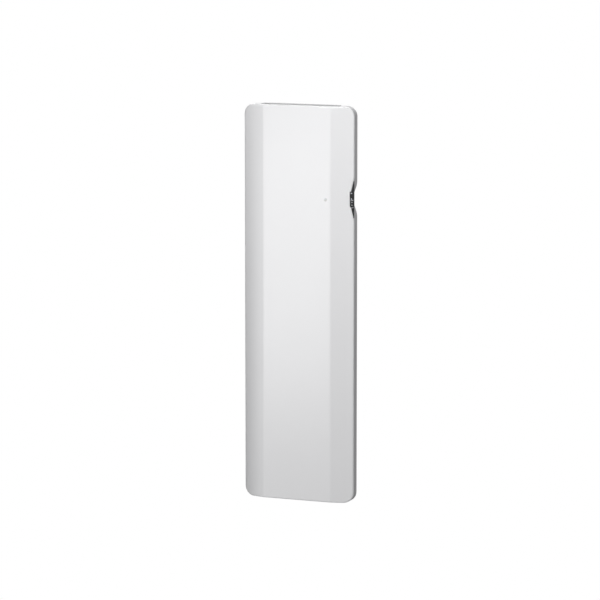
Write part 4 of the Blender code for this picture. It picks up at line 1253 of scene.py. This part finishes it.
def lights():
    """Windows from the left draw the front, a lamp from the right its other flank, and a fill the back."""
    lamp("window_left", around(-21, -2, 3.0, -0.05), (0, 0, 0.15), 0.6, 1.4, 12.2)
    lamp("soft_left", around(-36, -4, 3.0, -0.2), (0, 0, -0.2), 2.2, 1.4, 16.5)
    lamp("front_high", around(0, 30, 2.0, 0.5), (0, 0, 0.4), 0.8, 0.8, 12.0)
    lamp("right", around(50, 20, 2.4, 0.3), (0, 0, 0.3), 0.8, 1.2, 15.0)
    lamp("right_low", around(62, 0, 2.6, -0.20), (0, 0, -0.20), 0.25, 1.1, 5.0)
    lamp("overhead", (0, -0.1, 2.4), (0, 0, 0.7), 1.0, 0.8, 12.0)
    lamp("back_fill", around(195, 20, 3.5, 0.3), (0, 0, 0), 3.4, 3.0, 62.0)


def around(azimuth, elevation, distance, height):
    """A place round the radiator: degrees to the right of its front, degrees up, and metres from its axis."""
    turn, rise = math.radians(azimuth), math.radians(elevation)
    level = distance * math.cos(rise)
    return (level * math.sin(turn), -level * math.cos(turn), height + distance * math.sin(rise))


def edge_flag():
    """A black card just beyond the left edge: it keeps side light off, and so draws the edge."""
    made = Surface("black_card", (0.02, 0.02, 0.02), 0.9)
    made.tint(made.noise(50.0, 2.0), (0.015, 0.015, 0.015), (0.025, 0.025, 0.025))
    x = -HALF_W - FLAG_GAP
    back = FRONT_Y + fold(HALF_W)
    low = (x - 0.002, back - FLAG_DEPTH, -HALF_H - 0.1)
    high = (x, back, HALF_H + 0.1)
    flag = block("edge_flag", low, high, made.material)
    flag.visible_camera = False


def pale_floor():
    """White paper: it bounces light, reads as pure white, and can be seen through from below."""
    made = Surface("pale_floor", (0.4, 0.4, 0.4), 0.8)
    made.tint(made.noise(3.0, 2.0), (0.38, 0.38, 0.38), (0.42, 0.42, 0.42))
    tree = made.material.node_tree
    to_camera = tree.nodes.new("ShaderNodeLightPath").outputs["Is Camera Ray"]
    glow = tree.nodes.new("ShaderNodeEmission").outputs["Emission"]
    paper = mixed_shader(tree, to_camera, made.shader.outputs["BSDF"], glow)
    from_below = tree.nodes.new("ShaderNodeNewGeometry").outputs["Backfacing"]
    clear = tree.nodes.new("ShaderNodeBsdfTransparent").outputs["BSDF"]
    sheet = mixed_shader(tree, from_below, paper, clear)
    tree.links.new(sheet, tree.nodes["Material Output"].inputs["Surface"])
    return made.material


def camera():
    """A long lens from the right and a little above."""
    level = math.cos(CAMERA_PITCH)
    right = Vector((math.cos(CAMERA_YAW), math.sin(CAMERA_YAW), 0))
    back = Vector((right.y * level, -right.x * level, math.sin(CAMERA_PITCH)))
    up = back.cross(right)
    target = Vector((0, FRONT_Y, 0)) + right * AIM_RIGHT + up * AIM_UP
    data = bpy.data.cameras.new("camera")
    data.sensor_width = 36.0
    data.lens = CAMERA_LENS
    data.clip_end = 100.0
    eye = added("camera", data)
    aim(eye, target + back * CAMERA_DISTANCE, target)
    bpy.context.scene.camera = eye


dress_cad_nodes()
front_panel()
rear_casing()
grille("top_outlet_grille", "top_grille")
grille("bottom_inlet_grille", "bottom_grille")
control_fascia()
control_housing()
display()
keys()
control_trims()
presence_lens()
wall_bracket()
pivot_rod()
for side_name, side in SIDES.items():
    hanging_hook(side_name, side)
    top_latch(side_name, side)
    latch_rivet(side_name, side)
    catch_stud(side_name, side)
for number in range(1, 5):
    rail_screw(number)
cable_gland()
supply_cable()
rocker_body()
rocker_cap()
rocker_marks()
surroundings()
floor()
edge_flag()
lights()
camera()
bpy.context.scene.view_settings.view_transform = "Standard"
